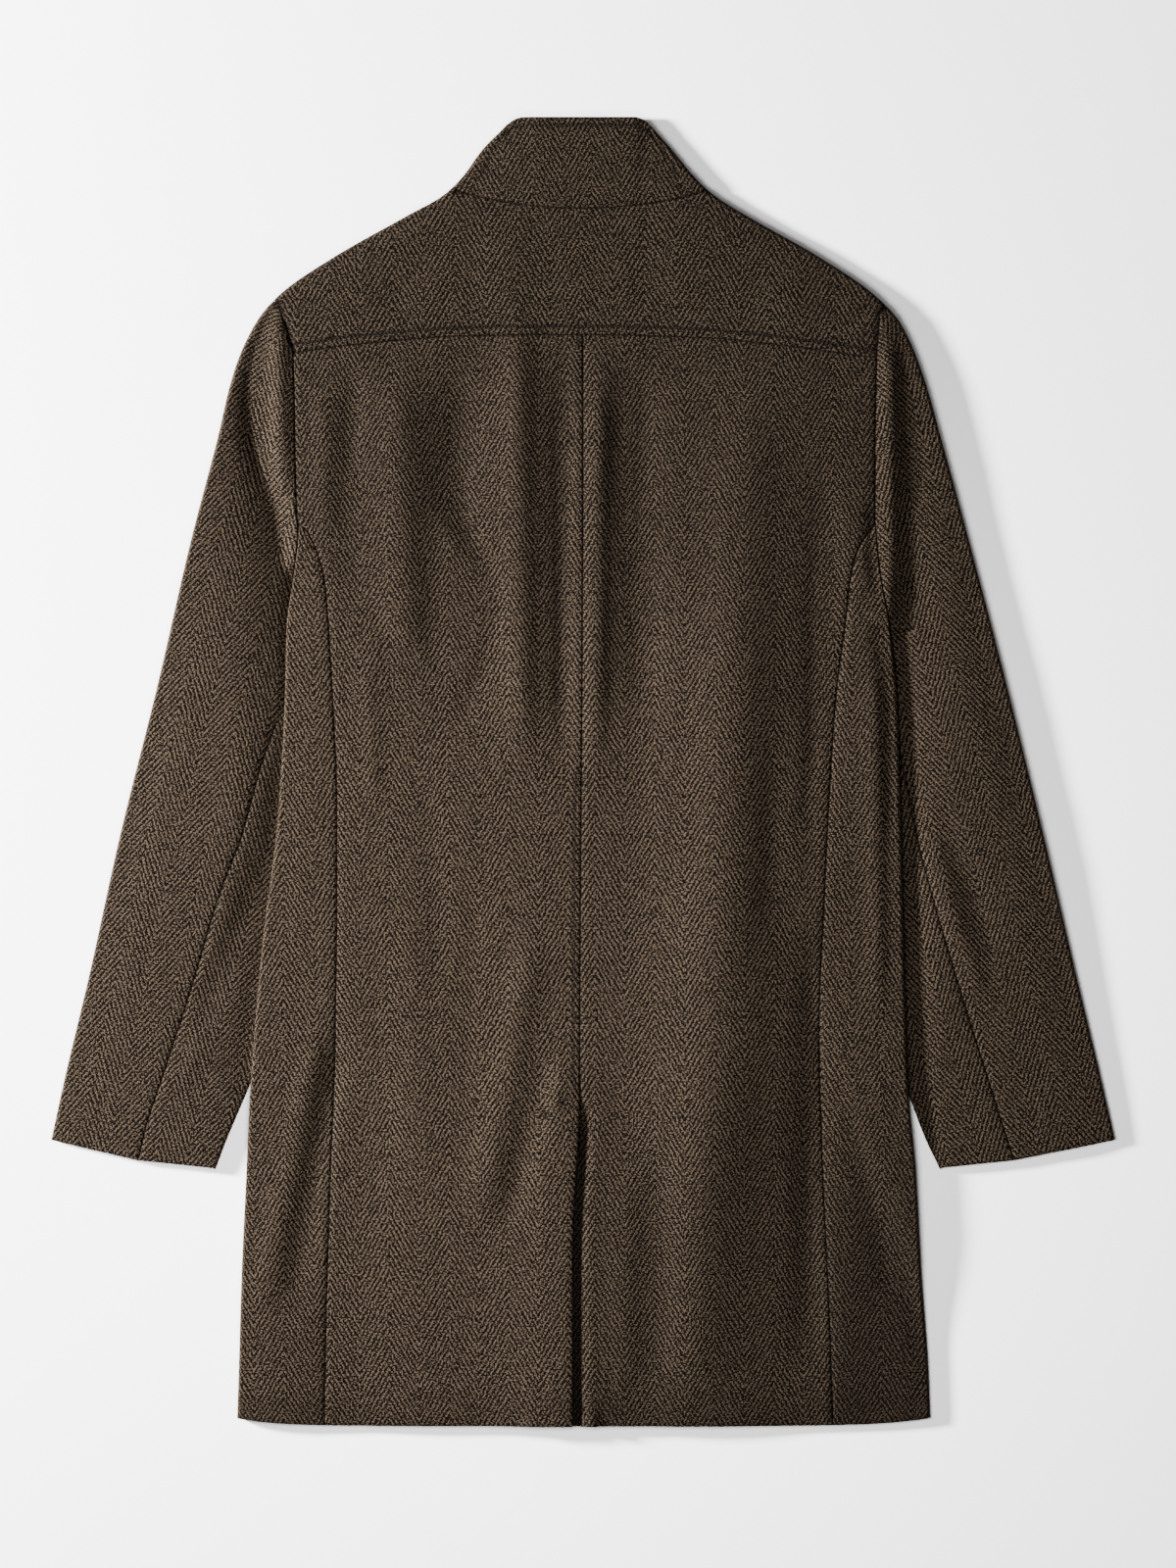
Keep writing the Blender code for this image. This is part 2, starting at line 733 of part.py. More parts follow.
def top_sleeve(half):
    """The outer piece of a sleeve: from the back seam over the outer edge to the seam beneath."""
    counts = (9, ROLL_STEPS, 4)
    columns = sum(counts)
    tip = half.tip_y
    low_ys = [mix(210, tip - 11, step / 11) for step in range(12)]
    high_ys = [mix(tip + 12, 845, step / 5) for step in range(6)]
    seam_ys = low_ys + [tip - 3, tip] + high_ys + [865]
    rows = len(seam_ys)
    cuff, shoulder = OUTLINE[0].y, half.shoulder_y - 0.4

    def point(column, row, depth):
        if row < rows:
            seam_y = seam_ys[row]
            outer_y = mix(cuff, shoulder, (seam_y - 210) / (877 - 210))
        else:
            seam_y, outer_y = 880, shoulder
        crease, inward = half.on_outline(outer_y)
        radius = mix(3.5, 8.0, smooth((outer_y - cuff) / 200))
        radius = mix(radius, SHOULDER_ROLL, smooth((outer_y - 780) / 90))
        if row == rows:
            top_seam = crease + inward * (SHOULDER_ROLL + CAP_MARGIN)
        elif seam_y < tip - 5:
            across = half.back_sleeve_seam(seam_y)
            if seam_y > 560:
                across = min(across, half.edge(seam_y) - 5)
            top_seam = half.at(across + HALF_GAP, seam_y)
        elif seam_y < tip + 1:
            top_seam = half.at(half.edge(seam_y) + GAP + 0.3, seam_y)
        elif seam_y < 850:
            top_seam = half.at(half.armhole_across(seam_y) + HALF_GAP, seam_y)
        else:
            start = half.at(half.armhole(845) + HALF_GAP, 845)
            crease_end, inward_end = half.on_outline(shoulder)
            top_seam = start.lerp(crease_end + inward_end * (SHOULDER_ROLL + CAP_MARGIN), (seam_y - 845) / 35)
        if row == rows:
            under_seam = crease + inward * (SHOULDER_ROLL + CAP_MARGIN)
        else:
            low_y = sleeve_seam_beneath(half, seam_y)
            under_seam = half.at(half.front_sleeve_seam(min(low_y, 868)) + HALF_GAP, low_y)
        return fold_point(
            column,
            counts,
            top_seam,
            crease,
            inward,
            radius,
            under_seam,
            lambda place: sleeve_height(half, place),
            lambda place: 0.0,
            depth,
        )

    piece(f"top_sleeve_{half.name}", columns, rows, point)


def under_sleeve(half):
    """The inner piece of a sleeve, folded round its inner edge and tucked under the front."""
    counts = (5, ROLL_STEPS, 2)
    rows = 11
    seam_top = half.tip_y - 11

    def point(column, row, depth):
        part = row / rows
        seam_y, inner_y = mix(210, seam_top, part), mix(REACH[0].y, CAP_Y - 0.5, part)
        low_y = sleeve_seam_beneath(half, seam_y)
        across = half.back_sleeve_seam(seam_y)
        if seam_y > 560:
            across = min(across, half.edge(seam_y) - 5)
        slope = half.reach.slope(min(inner_y, CAP_Y - 20))
        return fold_point(
            column,
            counts,
            half.at(across - HALF_GAP, seam_y),
            half.at(half.reach(inner_y), inner_y),
            half.at(1, -slope).normalized(),
            TUCKED_ROLL,
            half.at(half.front_sleeve_seam(low_y) - HALF_GAP, low_y),
            lambda place: sleeve_height(half, place),
            lambda place: 0.0,
            depth,
        )

    piece(f"under_sleeve_{half.name}", sum(counts), rows, point)


def main():
    for old in list(bpy.data.objects):
        bpy.data.objects.remove(old)
    yoke()
    collar()
    for half in HALVES.values():
        back_panel(half)
        side_panel(half)
        front_panel(half)
        top_sleeve(half)
        under_sleeve(half)


main()
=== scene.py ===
"""A herringbone wool topcoat laid flat on its front on a pale floor, seen from straight above.

Each cut piece of the coat is a thin shell of cloth on its solid's form. Its grid is moved point by
point to where the cloth lies: over the layers beneath, round the folded edges, into the seams and
along the creases. Lengths are in millimetres until a mesh is finished. x runs from the centre back
seam to the wearer's right, y from the hem up to the collar, and z up from the floor.
"""

from __future__ import annotations

import logging
import math
from collections.abc import Callable, Sequence
from dataclasses import dataclass
from enum import Enum

import bmesh
import bpy
from mathutils import Matrix, Vector, kdtree, noise
from mathutils.bvhtree import BVHTree

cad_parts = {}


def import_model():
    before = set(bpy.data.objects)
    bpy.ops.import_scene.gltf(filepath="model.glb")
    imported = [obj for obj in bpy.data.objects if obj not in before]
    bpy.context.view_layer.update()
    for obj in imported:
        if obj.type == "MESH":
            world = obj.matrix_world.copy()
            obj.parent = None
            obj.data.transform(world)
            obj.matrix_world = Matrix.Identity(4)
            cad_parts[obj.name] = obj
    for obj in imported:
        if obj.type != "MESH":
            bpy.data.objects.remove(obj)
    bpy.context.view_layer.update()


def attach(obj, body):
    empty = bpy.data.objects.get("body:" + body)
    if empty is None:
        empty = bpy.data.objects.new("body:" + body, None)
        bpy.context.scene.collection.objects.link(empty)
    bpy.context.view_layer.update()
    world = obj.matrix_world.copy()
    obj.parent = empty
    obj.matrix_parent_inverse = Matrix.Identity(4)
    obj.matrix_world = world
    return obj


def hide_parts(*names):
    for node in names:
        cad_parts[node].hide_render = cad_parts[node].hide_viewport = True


LOG = logging.getLogger("topcoat")

MM = 0.001
WALL = 2.6
COLLAR_WALL = 3.4
# How far apart two layers lie, and the two sides of a seam
GAP = 0.3
HALF_GAP = GAP / 2
# How close the pieces come at the folded ends of their seams
END_GAP = 0.1

LENGTH = 1031.0
ORIGIN_Y = LENGTH / 2
# The hem, and how far it turns up at its corners
HEM_Y = 1.0
HEM_TURN = 6.0
HEM_CORNER_X = 272.0
# The collar's top: at its fold, at its middle, and where its edge starts to round off and how far
COLLAR_TOP_Y = 1022.5
COLLAR_TOP_X = -3.5
COLLAR_LEVEL = 43.5
COLLAR_CORNER = 11.0
COLLAR_CORNER_DROP = 4.4
SIDE_TOP_Y = 705.0
VENT_TOP_Y = 266.0
VENT_UNDERLAP = 42.0
FRONT_OVERLAP = 28.0
OVERLAP_RAMP = 12.0
# From where up the front's armhole follows the sleeve's seam, and the top of the centre front
FRONT_ARMHOLE_Y = 745.0
FRONT_TOP_Y = 897.6
# The straight seam between side and front beneath, at the hem and at its top
SIDE_SEAM_BENEATH = (228.0, 182.0)
YOKE_WRAP = 15.0
# The feet of the sleeve's seams on top and beneath, and the end of the one beneath
SLEEVE_FOOT_Y = 210.0
LOW_SLEEVE_FOOT_Y = 206.0
CAP_Y = 655.0
# How far under the tip of the body's side fold the back seam ends, and the rows at the tip
CAP_BELOW_TIP = 11.0
TIP_STEP = 3.0
# From where up the back seam is hidden under the body's side fold, and how far inside it
HIDDEN_SEAM_Y = 560.0
HIDDEN_SEAM_INSET = 5.0
ARMHOLE_TOP_Y = 845.0
# How far inside the shoulder's round its upper face ends
CAP_MARGIN = 3.0
TUCKED_SLEEVE = 2 * WALL + GAP
LIFT = TUCKED_SLEEVE + GAP
LIFT_MARGIN = 16.0
LIFT_RAMP = 20.0
SHOULDER_ROLL = 3.4
SIDE_ROLL = 2.9
SLEEVE_ROLL = 3.0
TUCKED_ROLL = 2.7
ROLL_STEPS = 12

# How a seam draws the cloth down: a soft dip beside it, and a sharp one into the seam itself
SEAM_DIP = 0.5
SEAM_DIP_WIDTH = 3.0
SEAM_CRACK = 0.5
SEAM_CRACK_WIDTH = 0.6
# Seams that lie lower than this are beneath the coat and stay flat
SEAM_LEAST_Z = 4.5
# How much the wool is painted darker deep in a seam and in a row of stitches, as painted shade
SEAM_SHADE = 0.72
STITCH_SHADE = 0.8
# A row of topstitching: its distance from the edge, the pitch of its stitches and its dent
STITCH_INSET = 6.5
STITCH_PITCH = 3.0
STITCH_DENT = 0.6
STITCH_DENT_WIDTH = 1.2
# A crease's reach beside its line in half widths, and the share of its length that each end fades
CREASE_REACH = 2.6
CREASE_FADE = 0.22
# How far the back's pressed hem comes down onto the fronts, and over what length
HEM_DROOP = 3.2
HEM_DROOP_WIDTH = 26.0
# An edge that turns by more degrees than this is shaded as a sharp one
SHARP_ANGLE = 50.0


def mix(low: float, high: float, part: float) -> float:
    """The value a part of the way from low to high."""
    return low + (high - low) * part


def smooth(part: float) -> float:
    """A rise from 0 to 1 with level ends, for a part from 0 to 1."""
    part = min(1.0, max(0.0, part))
    return part * part * (3 - 2 * part)


def bulged(part: float) -> float:
    """A rise from 0 to 1 that starts steep and ends level, for a part from 0 to 1."""
    return 1 - (1 - min(1.0, max(0.0, part))) ** 2


def eased(part: float, amount: float = 0.13) -> float:
    """A part from 0 to 1, drawn towards both ends so that seams get finer steps."""
    return part - amount * math.sin(2 * math.pi * part)


def closing(part: float, first: float) -> float:
    """A part from 0 to 1 whose steps get finer towards 1, the first of them a given size."""
    return part * (first - (first - 1) * part)


def spread(values: Sequence, times: int) -> list:
    """Each step between neighbouring values or points, cut into equal smaller ones.

    Args:
        values: Numbers or vectors in order.
        times: How many steps each becomes.

    Returns:
        The values with the new ones between them.
    """
    finer = []
    for low, high in zip(values, values[1:]):
        finer += [low + (high - low) * (step / times) for step in range(times)]
    return [*finer, values[-1]]


def smooth_maximum(first: float, second: float, blend: float = 1.0) -> float:
    """The larger of two heights, rounded where they cross and never below either."""
    ahead = first - second
    if abs(ahead) >= blend:
        return max(first, second)
    return second + (ahead + blend) ** 2 / (4 * blend)


def linear_colour(code: str) -> tuple[float, float, float, float]:
    """The linear colour of an sRGB hex code such as 3b2f28."""
    shares = [int(code[start : start + 2], 16) / 255 for start in (0, 2, 4)]
    red, green, blue = (s / 12.92 if s <= 0.04045 else ((s + 0.055) / 1.055) ** 2.4 for s in shares)
    return red, green, blue, 1.0


@dataclass(frozen=True)
class Ramp:
    """A smooth rise from 0 at one place to 1 at another, on either side of it."""

    start: float
    end: float

    def at(self, place: float) -> float:
        """How far it has risen at a place."""
        return smooth((place - self.start) / (self.end - self.start))


# Up the coat: where the lift over the tucked sleeve ends, the chest and the sleeve's head begin
LIFT_END = Ramp(745.0, 800.0)
CHEST = Ramp(580.0, 630.0)
SLEEVE_HEAD = Ramp(580.0, 660.0)
# Out from the centre: where the back passes from its middle's height to that of its side
TO_SIDE = Ramp(70.0, 180.0)
# Where the back rises over the fronts' overlap, and from either side over the vent's underlap
OVER_FRONTS = Ramp(FRONT_OVERLAP + 30, FRONT_OVERLAP + 10)
OVER_UNDERLAP_LEFT = Ramp(-VENT_UNDERLAP - 16, -VENT_UNDERLAP - 2)
OVER_UNDERLAP_RIGHT = Ramp(16.0, 8.0)
UNDERLAP_COVER_Y = VENT_TOP_Y + 20
# Where the centre back seam slants to the left and how far, and the same for the vent's flap
SEAM_SLANT = Ramp(750.0, 250.0)
SEAM_SLANT_X = 2.6
FLAP_SLANT = Ramp(VENT_TOP_Y, VENT_TOP_Y - 130)
FLAP_SLANT_X = 5.4
# Where shade is painted on a piece's wool, towards the shoulders and towards the hem
UPPER_BACK = Ramp(510.0, 740.0)
LOWER_BACK = Ramp(310.0, 120.0)
# How the collar's fold turns into its rounded corner, and the way in from it there
COLLAR_TURN = Ramp(0.8, 1.0)
COLLAR_TURN_WAY = (-0.72, 0.69)


class Side(Enum):
    """The wearer's left or right half."""

    LEFT = "left"
    RIGHT = "right"

    @property
    def sign(self) -> int:
        """The sign of x on this half."""
        return -1 if self is Side.LEFT else 1


class Table:
    """A short table with named columns, of which the first is the height up the coat."""

    def __init__(self, columns: str, *rows: tuple[float, ...]) -> None:
        """Keeps the rows.

        Args:
            columns: The names of the columns, with spaces between them.
            rows: One row for each height, from the hem up.
        """
        self.columns = columns.split()
        self.rows = rows
        self.foot, self.top = rows[0][0], rows[-1][0]

    def pairs(self, column: str) -> list[tuple[float, float]]:
        """Each row's height with its value in one column."""
        place = self.columns.index(column)
        return [(row[0], row[place]) for row in self.rows]


@dataclass(frozen=True)
class Crease:
    """A soft ridge, or a trough where its height is negative, along a line.

    Attributes:
        x0: One end, across.
        y0: One end, up the coat.
        x1: The other end, across.
        y1: The other end, up the coat.
        width: Half its width.
        height: Its height.
    """

    x0: float
    y0: float
    x1: float
    y1: float
    width: float
    height: float

    def at(self, place: Vector) -> float:
        """Its height at a place: round across its line, fading at both ends."""
        reach = CREASE_REACH * self.width
        if not min(self.x0, self.x1) - reach < place.x < max(self.x0, self.x1) + reach:
            return 0.0
        if not min(self.y0, self.y1) - reach < place.y < max(self.y0, self.y1) + reach:
            return 0.0
        run_x, run_y = self.x1 - self.x0, self.y1 - self.y0
        off_x, off_y = place.x - self.x0, place.y - self.y0
        long = run_x * run_x + run_y * run_y
        along = (off_x * run_x + off_y * run_y) / long
        if not 0 < along < 1:
            return 0.0
        across = (off_x * run_y - off_y * run_x) ** 2 / long / self.width**2
        return self.height * smooth(min(along, 1 - along) / CREASE_FADE) * math.exp(-across)


@dataclass(frozen=True)
class Ripple:
    """A slight unevenness of the cloth between its creases.

    Attributes:
        across: The size of its swells across the coat.
        along: Their size up the coat.
        layer: Which layer of the noise it is drawn from.
        height: Its height.
    """

    across: float
    along: float
    layer: float
    height: float

    def at(self, place: Vector) -> float:
        """Its height at a place."""
        return self.height * noise.noise(Vector((place.x / self.across, place.y / self.along, self.layer)))


RIPPLES = (
    Ripple(46, 105, 3.7, 0.55),
    Ripple(17, 34, 8.2, 0.16),
)


class Curve:
    """A smooth line through a table's points."""

    def __init__(self, points: Sequence[tuple[float, float]]) -> None:
        """Works out the line's slopes.

        Args:
            points: (place, value) pairs in order of place.
        """
        self.points = [(float(place), float(value)) for place, value in points]
        steps = [(b[1] - a[1]) / (b[0] - a[0]) for a, b in zip(self.points, self.points[1:])]
        inner = [0.0 if a * b <= 0 else 2 * a * b / (a + b) for a, b in zip(steps, steps[1:])]
        self.slopes = [steps[0], *inner, steps[-1]]

    def first_point(self, place: float) -> int:
        """Which point comes before a place, or before the stretch next to it."""
        first = 0
        while first < len(self.points) - 2 and place > self.points[first + 1][0]:
            first += 1
        return first

    def __call__(self, place: float) -> float:
        """The value at a place, carried on straight past both ends."""
        first = self.first_point(place)
        (start, low), (end, high) = self.points[first], self.points[first + 1]
        span = end - start
        part = (place - start) / span
        if part < 0:
            return low + self.slopes[first] * (place - start)
        if part > 1:
            return high + self.slopes[first + 1] * (place - end)
        rest = 1 - part
        return (
            rest * rest * (1 + 2 * part) * low
            + part * part * (1 + 2 * rest) * high
            + span * part * rest * (rest * self.slopes[first] - part * self.slopes[first + 1])
        )

    def slope(self, place: float) -> float:
        """How fast the value changes at a place."""
        return self(place + 0.5) - self(place - 0.5)


class StraightLines(Curve):
    """The straight lines between a table's points."""

    def __call__(self, place: float) -> float:
        """The value at a place."""
        first = self.first_point(place)
        (start, low), (end, high) = self.points[first], self.points[first + 1]
        return mix(low, high, (place - start) / (end - start))


# The outer edge of the sleeve, the shoulder and the collar, from the cuff up
OUTLINE = Table(
    "y left right",
    (226, 419, 419),
    (276, 408, 407.5),
    (353, 389.5, 389),
    (468, 364, 362),
    (584, 335, 333.5),
    (699, 308, 303.5),
    (776, 288, 282.5),
    (830, 275, 267),
    (869, 258, 250),
    (892, 238.5, 228.5),
    (922, 195, 184.5),
    (953, 140, 130),
    (970, 110, 103),
    (984, 95.5, 88),
    (1007, 78.5, 69),
    (1027, 58, 51),
)
# The body's side fold, and above its tip the bottom of the armhole
EDGE = Table(
    "y left right",
    (0, 272.5, 273.5),
    (45, 271, 272),
    (122, 268.7, 266.4),
    (199, 265, 262),
    (276, 261, 255),
    (386, 251.5, 252),
    (474, 240.5, 250),
    (572, 234.5, 247),
    (631, 233, 240.5),
    (676, 226.5, 233),
    (705, 223.5, 230),
    (712, 224.5, 229.5),
)
SIDE_SEAM = Table(
    "y left right",
    (0, 203.5, 196.5),
    (82, 202, 194),
    (150, 200, 191),
    (199, 198.5, 188.7),
    (314, 194.5, 185.6),
    (425, 193.3, 190),
    (494, 193.3, 193.3),
    (572, 196.4, 198.5),
    (636, 200.2, 206.5),
    (668, 203.2, 210.2),
    (690, 209.4, 216),
    (705, 216.4, 224.5),
)
ARMHOLE = Table(
    "y left right",
    (712, 224.5, 229.5),
    (770, 226.5, 229.5),
    (811, 227, 230),
    (845, 228, 231),
)
# The sleeve's inner fold, tucked under the front, and the end of its cap above CAP_Y
REACH = Table(
    "y left right",
    (203, 289.5, 281),
    (227, 280.3, 269.5),
    (273, 261, 252.5),
    (350, 232, 226),
    (468, 185, 181),
    (584, 139, 137),
    (CAP_Y, 113, 112),
    (678, 130, 130),
    (700, 150, 150),
    (745, 180, 180),
    (760, 188, 188),
)
BACK_SLEEVE_SEAM = Table(
    "y left right",
    (210, 350, 339.5),
    (238, 343.4, 330.3),
    (272, 332, 319.5),
    (353, 305.7, 294),
    (419, 285.7, 274.5),
    (464, 268.7, 263),
    (523, 252.6, 251),
    (560, 240, 242),
    (600, 231, 236),
    (660, 225.5, 233),
)
# The sleeve's seam beneath, and above CAP_Y the front half of the armhole
FRONT_SLEEVE_SEAM = Table(
    "y left right",
    (200, 312.5, 304),
    (CAP_Y, 135, 134),
    (700, 160, 160),
    (745, 186, 186),
    (760, 192, 192),
    (800, 205, 205),
    (845, 222, 221),
)
# How high the back lies along its middle and over each side
BACK_RISE = Table(
    "y middle left right",
    (0, 10.6, 11.4, 6.4),
    (100, 12.0, 12.3, 6.6),
    (266, 12.8, 13.0, 9.0),
    (400, 12.8, 13.4, 11.4),
    (550, 12.2, 13.4, 12.8),
    (700, 11.4, 12.2, 13.4),
    (800, 10.6, 12.0, 12.4),
    (860, 10.0, 11.0, 11.0),
    (900, 9.5, 9.6, 9.6),
    (960, 8.8, 8.8, 8.8),
    (1031, 7.7, 7.7, 7.7),
)
# How high each sleeve's round stands, and over what width it rises to that
SLEEVE_RISE = Table(
    "y left right left_width right_width",
    (205, 6.6, 6.4, 24, 24),
    (276, 8.0, 7.6, 30, 28),
    (353, 10.0, 9.2, 34, 32),
    (399, 11.4, 10.0, 38, 34),
    (445, 12.2, 10.6, 40, 36),
    (491, 12.2, 11.0, 38, 38),
    (537, 11.6, 11.2, 38, 40),
    (584, 12.8, 10.8, 48, 42),
    (645, 14.8, 10.4, 52, 44),
    (676, 16.0, 10.4, 58, 42),
    (707, 16.6, 10.6, 56, 40),
    (738, 16.4, 10.9, 46, 36),
    (776, 15.0, 11.4, 27, 32),
    (830, 12.8, 11.2, 16, 20),
    (890, 9.0, 9.0, 10, 10),
)
# Where the valley between a sleeve's round and the body lies, and the height of its floor
VALLEY = Table(
    "y left right left_z right_z",
    (500, 237, 245, 6.2, 5.8),
    (631, 236, 249, 7.0, 6.6),
    (657, 236, 257, 7.4, 7.4),
    (676, 236, 261, 7.6, 8.2),
    (699, 239, 263, 7.6, 8.8),
    (722, 243, 265, 7.8, 9.2),
    (745, 251, 266, 8.2, 9.4),
    (776, 260, 267, 8.8, 9.8),
    (814, 264, 263, 9.4, 10.2),
    (850, 257, 252, 9.8, 9.8),
    (890, 240, 235, 9.0, 9.0),
)

BACK_CREASES = (
    Crease(146, 470, 152, -90, 76, 3.4),
    Crease(-204, 820, -203, 690, 9, 1.4),
    Crease(-181, 850, -181, 640, 9, -1.7),
    Crease(-146, 850, -139, 590, 17, 2.9),
    Crease(-96, 858, -98, 530, 20, -4.0),
    Crease(-51, 900, -48, 500, 13, 3.5),
    Crease(-15, 858, -16, 510, 9, -2.6),
    Crease(14, 858, 10, 500, 9, 2.6),
    Crease(43, 858, 50, 540, 18, -2.8),
    Crease(132, 850, 104, 290, 30, 3.8),
    Crease(104, 330, 84, 10, 30, 2.8),
    Crease(190, 770, 187, 420, 13, -2.9),
    Crease(187, 420, 178, 20, 16, -3.2),
    Crease(229, 625, 233, 290, 9, 1.7),
    Crease(226, 735, 231, 650, 6, -2.2),
    Crease(205, 320, 248, 90, 9, -2.3),
    Crease(222, 300, 262, 140, 10, 2.0),
    Crease(-205, 330, -254, 80, 8, 1.7),
    Crease(-187, 330, -232, 75, 10, -2.3),
    Crease(-36, 400, -84, 150, 13, 2.6),
    Crease(-26, 300, -62, 150, 10, -1.9),
    Crease(-20, 330, -18, -140, 38, 3.6),
    Crease(120, 700, 98, 120, 48, 5.0),
    Crease(98, 480, 96, -80, 48, 1.6),
    Crease(-176, 330, -182, -90, 32, -2.0),
    Crease(33, 220, 33, 10, 12, 1.7),
    Crease(64, 240, 60, 10, 14, -1.3),
)
SLEEVE_CREASES = {
    Side.LEFT: (
        Crease(-243, 455, -304, 300, 11, -2.9),
        Crease(-262, 400, -318, 262, 9, 1.2),
    ),
    Side.RIGHT: (
        Crease(262, 480, 318, 330, 9, 1.7),
        Crease(276, 500, 330, 360, 9, -1.3),
    ),
}
# The fullness of a sleeve's head, between the armhole and the valley beside it
HEAD_RIDGE = {
    Side.LEFT: Crease(-240, 885, -237, 722, 7, 2.4),
    Side.RIGHT: Crease(241, 880, 243, 630, 7, 2.4),
}
# Finer creases that only show in the cloth itself
FINE_BACK_CREASES = (
    Crease(-16, 290, -22, 240, 7, 1.0),
    Crease(-120, 520, -112, 330, 12, -0.9),
    Crease(-140, 420, -128, 180, 14, 0.9),
    Crease(-84, 430, -92, 260, 10, -0.8),
    Crease(70, 640, 62, 420, 12, 0.8),
    Crease(150, 560, 146, 380, 10, -0.8),
    Crease(-168, 640, -165, 480, 8, 0.8),
    Crease(-60, 960, -60, 870, 18, 0.9),
    Crease(48, 940, 52, 868, 16, -0.6),
    Crease(-130, 930, -150, 866, 14, -0.6),
    Crease(150, 915, 168, 862, 14, 0.7),
)

COLLAR_SEAM = (
    (-98.5, 972.7),
    (-70, 965.8),
    (-40, 961.2),
    (0, 959),
    (40, 961.4),
    (70, 965.8),
    (92.5, 970.8),
)
YOKE_SEAM = ((-228, 845), (-175, 852), (-89, 858.6), (0, 859.6), (96, 857), (165, 850), (231, 841))
FRONT_NECK = ((84, 945), (68, 922), (54, 912), (40, 905), (28, 902.8), (1.5, 900.5))
COLLAR_FRONT_TOP = ((53, 1008), (47, 997), (40, 986), (32, 976), (23, 967), (14, 960), (1.5, 956))
# The heights of the rows that back and side share, closer together where the side fold ends
BODY_LEVELS = (0, 25, 62, 100, 140, 180, 222, 266, *range(300, 581, 40), 610, 631, 655, 676, 692)
FRONT_TOP_LEVELS = (678, SIDE_TOP_Y + GAP, 722, FRONT_ARMHOLE_Y, 760)
FRONT_LEVELS = (0, 60, 130, 200, 266, *range(330, 656, 65), *FRONT_TOP_LEVELS)


@dataclass
class HalfLines:
    """The lines of one half of the coat, as distances from the centre back seam.

    Attributes:
        side: Which half.
        tip_y: Where the sleeve's fold comes out from under the body.
        shoulder_y: Where the shoulder meets the sleeve on the outline.
        neck_y: Where the shoulder meets the collar on the outline.
        edge_fall: By what share the body is lower at its side fold.
        chest_fall: The same from the chest up.
        edge_width: Over what width it falls.
        rim_fall: By what share a sleeve is lower at its outer fold.
        head_fall: The same at the sleeve's head.
        rise_start: How far from the body's fold a sleeve starts to rise.
    """

    side: Side
    tip_y: float
    shoulder_y: float
    neck_y: float
    edge_fall: float
    chest_fall: float
    edge_width: float
    rim_fall: float
    head_fall: float
    rise_start: float

    def __post_init__(self) -> None:
        """Draws the half's lines through the tables."""
        name = self.side.value
        self.sign = self.side.sign
        self.cap_y = self.tip_y - CAP_BELOW_TIP
        self.outline = Curve(OUTLINE.pairs(name))
        self.edge = Curve(EDGE.pairs(name))
        self.side_seam = Curve(SIDE_SEAM.pairs(name))
        self.armhole = Curve(ARMHOLE.pairs(name))
        self.reach = Curve(REACH.pairs(name))
        self.back_sleeve_seam = Curve(BACK_SLEEVE_SEAM.pairs(name))
        self.front_sleeve_seam = StraightLines(FRONT_SLEEVE_SEAM.pairs(name))
        self.valley = Curve(VALLEY.pairs(name))
        self.valley_z = Curve(VALLEY.pairs(name + "_z"))
        self.rise = Curve(BACK_RISE.pairs(name))
        self.crest = Curve(SLEEVE_RISE.pairs(name))
        self.crest_width = Curve(SLEEVE_RISE.pairs(name + "_width"))

    def at(self, across: float, y: float) -> Vector:
        """The place at a distance from the centre back seam."""
        return Vector((self.sign * across, y))

    def across(self, place: Vector) -> float:
        """A place's distance from the centre back seam."""
        return self.sign * place.x

    def on_outline(self, y: float) -> tuple[Vector, Vector]:
        """A point of the outer edge and the way in from it, level with the floor."""
        return self.at(self.outline(y), y), self.at(-1, self.outline.slope(y)).normalized()

    def armhole_across(self, y: float) -> float:
        """The seam between the sleeve and the body's upper face."""
        return self.edge(y) if y < ARMHOLE.foot else self.armhole(y)

    def back_seam_across(self, y: float) -> float:
        """The sleeve's back seam, which near its end is hidden under the body's side fold."""
        across = self.back_sleeve_seam(y)
        return min(across, self.edge(y) - HIDDEN_SEAM_INSET) if y > HIDDEN_SEAM_Y else across


LINES = {
    Side.LEFT: HalfLines(
        side=Side.LEFT,
        tip_y=676.0,
        shoulder_y=887.0,
        neck_y=977.0,
        edge_fall=0.04,
        chest_fall=0.04,
        edge_width=26.0,
        rim_fall=0.1,
        head_fall=0.0,
        rise_start=2.0,
    ),
    Side.RIGHT: HalfLines(
        side=Side.RIGHT,
        tip_y=631.0,
        shoulder_y=883.0,
        neck_y=975.0,
        edge_fall=0.25,
        chest_fall=0.29,
        edge_width=21.0,
        rim_fall=0.16,
        head_fall=0.16,
        rise_start=6.0,
    ),
}
COLLAR_SEAM_Y = Curve(COLLAR_SEAM)
YOKE_SEAM_Y = Curve(YOKE_SEAM)


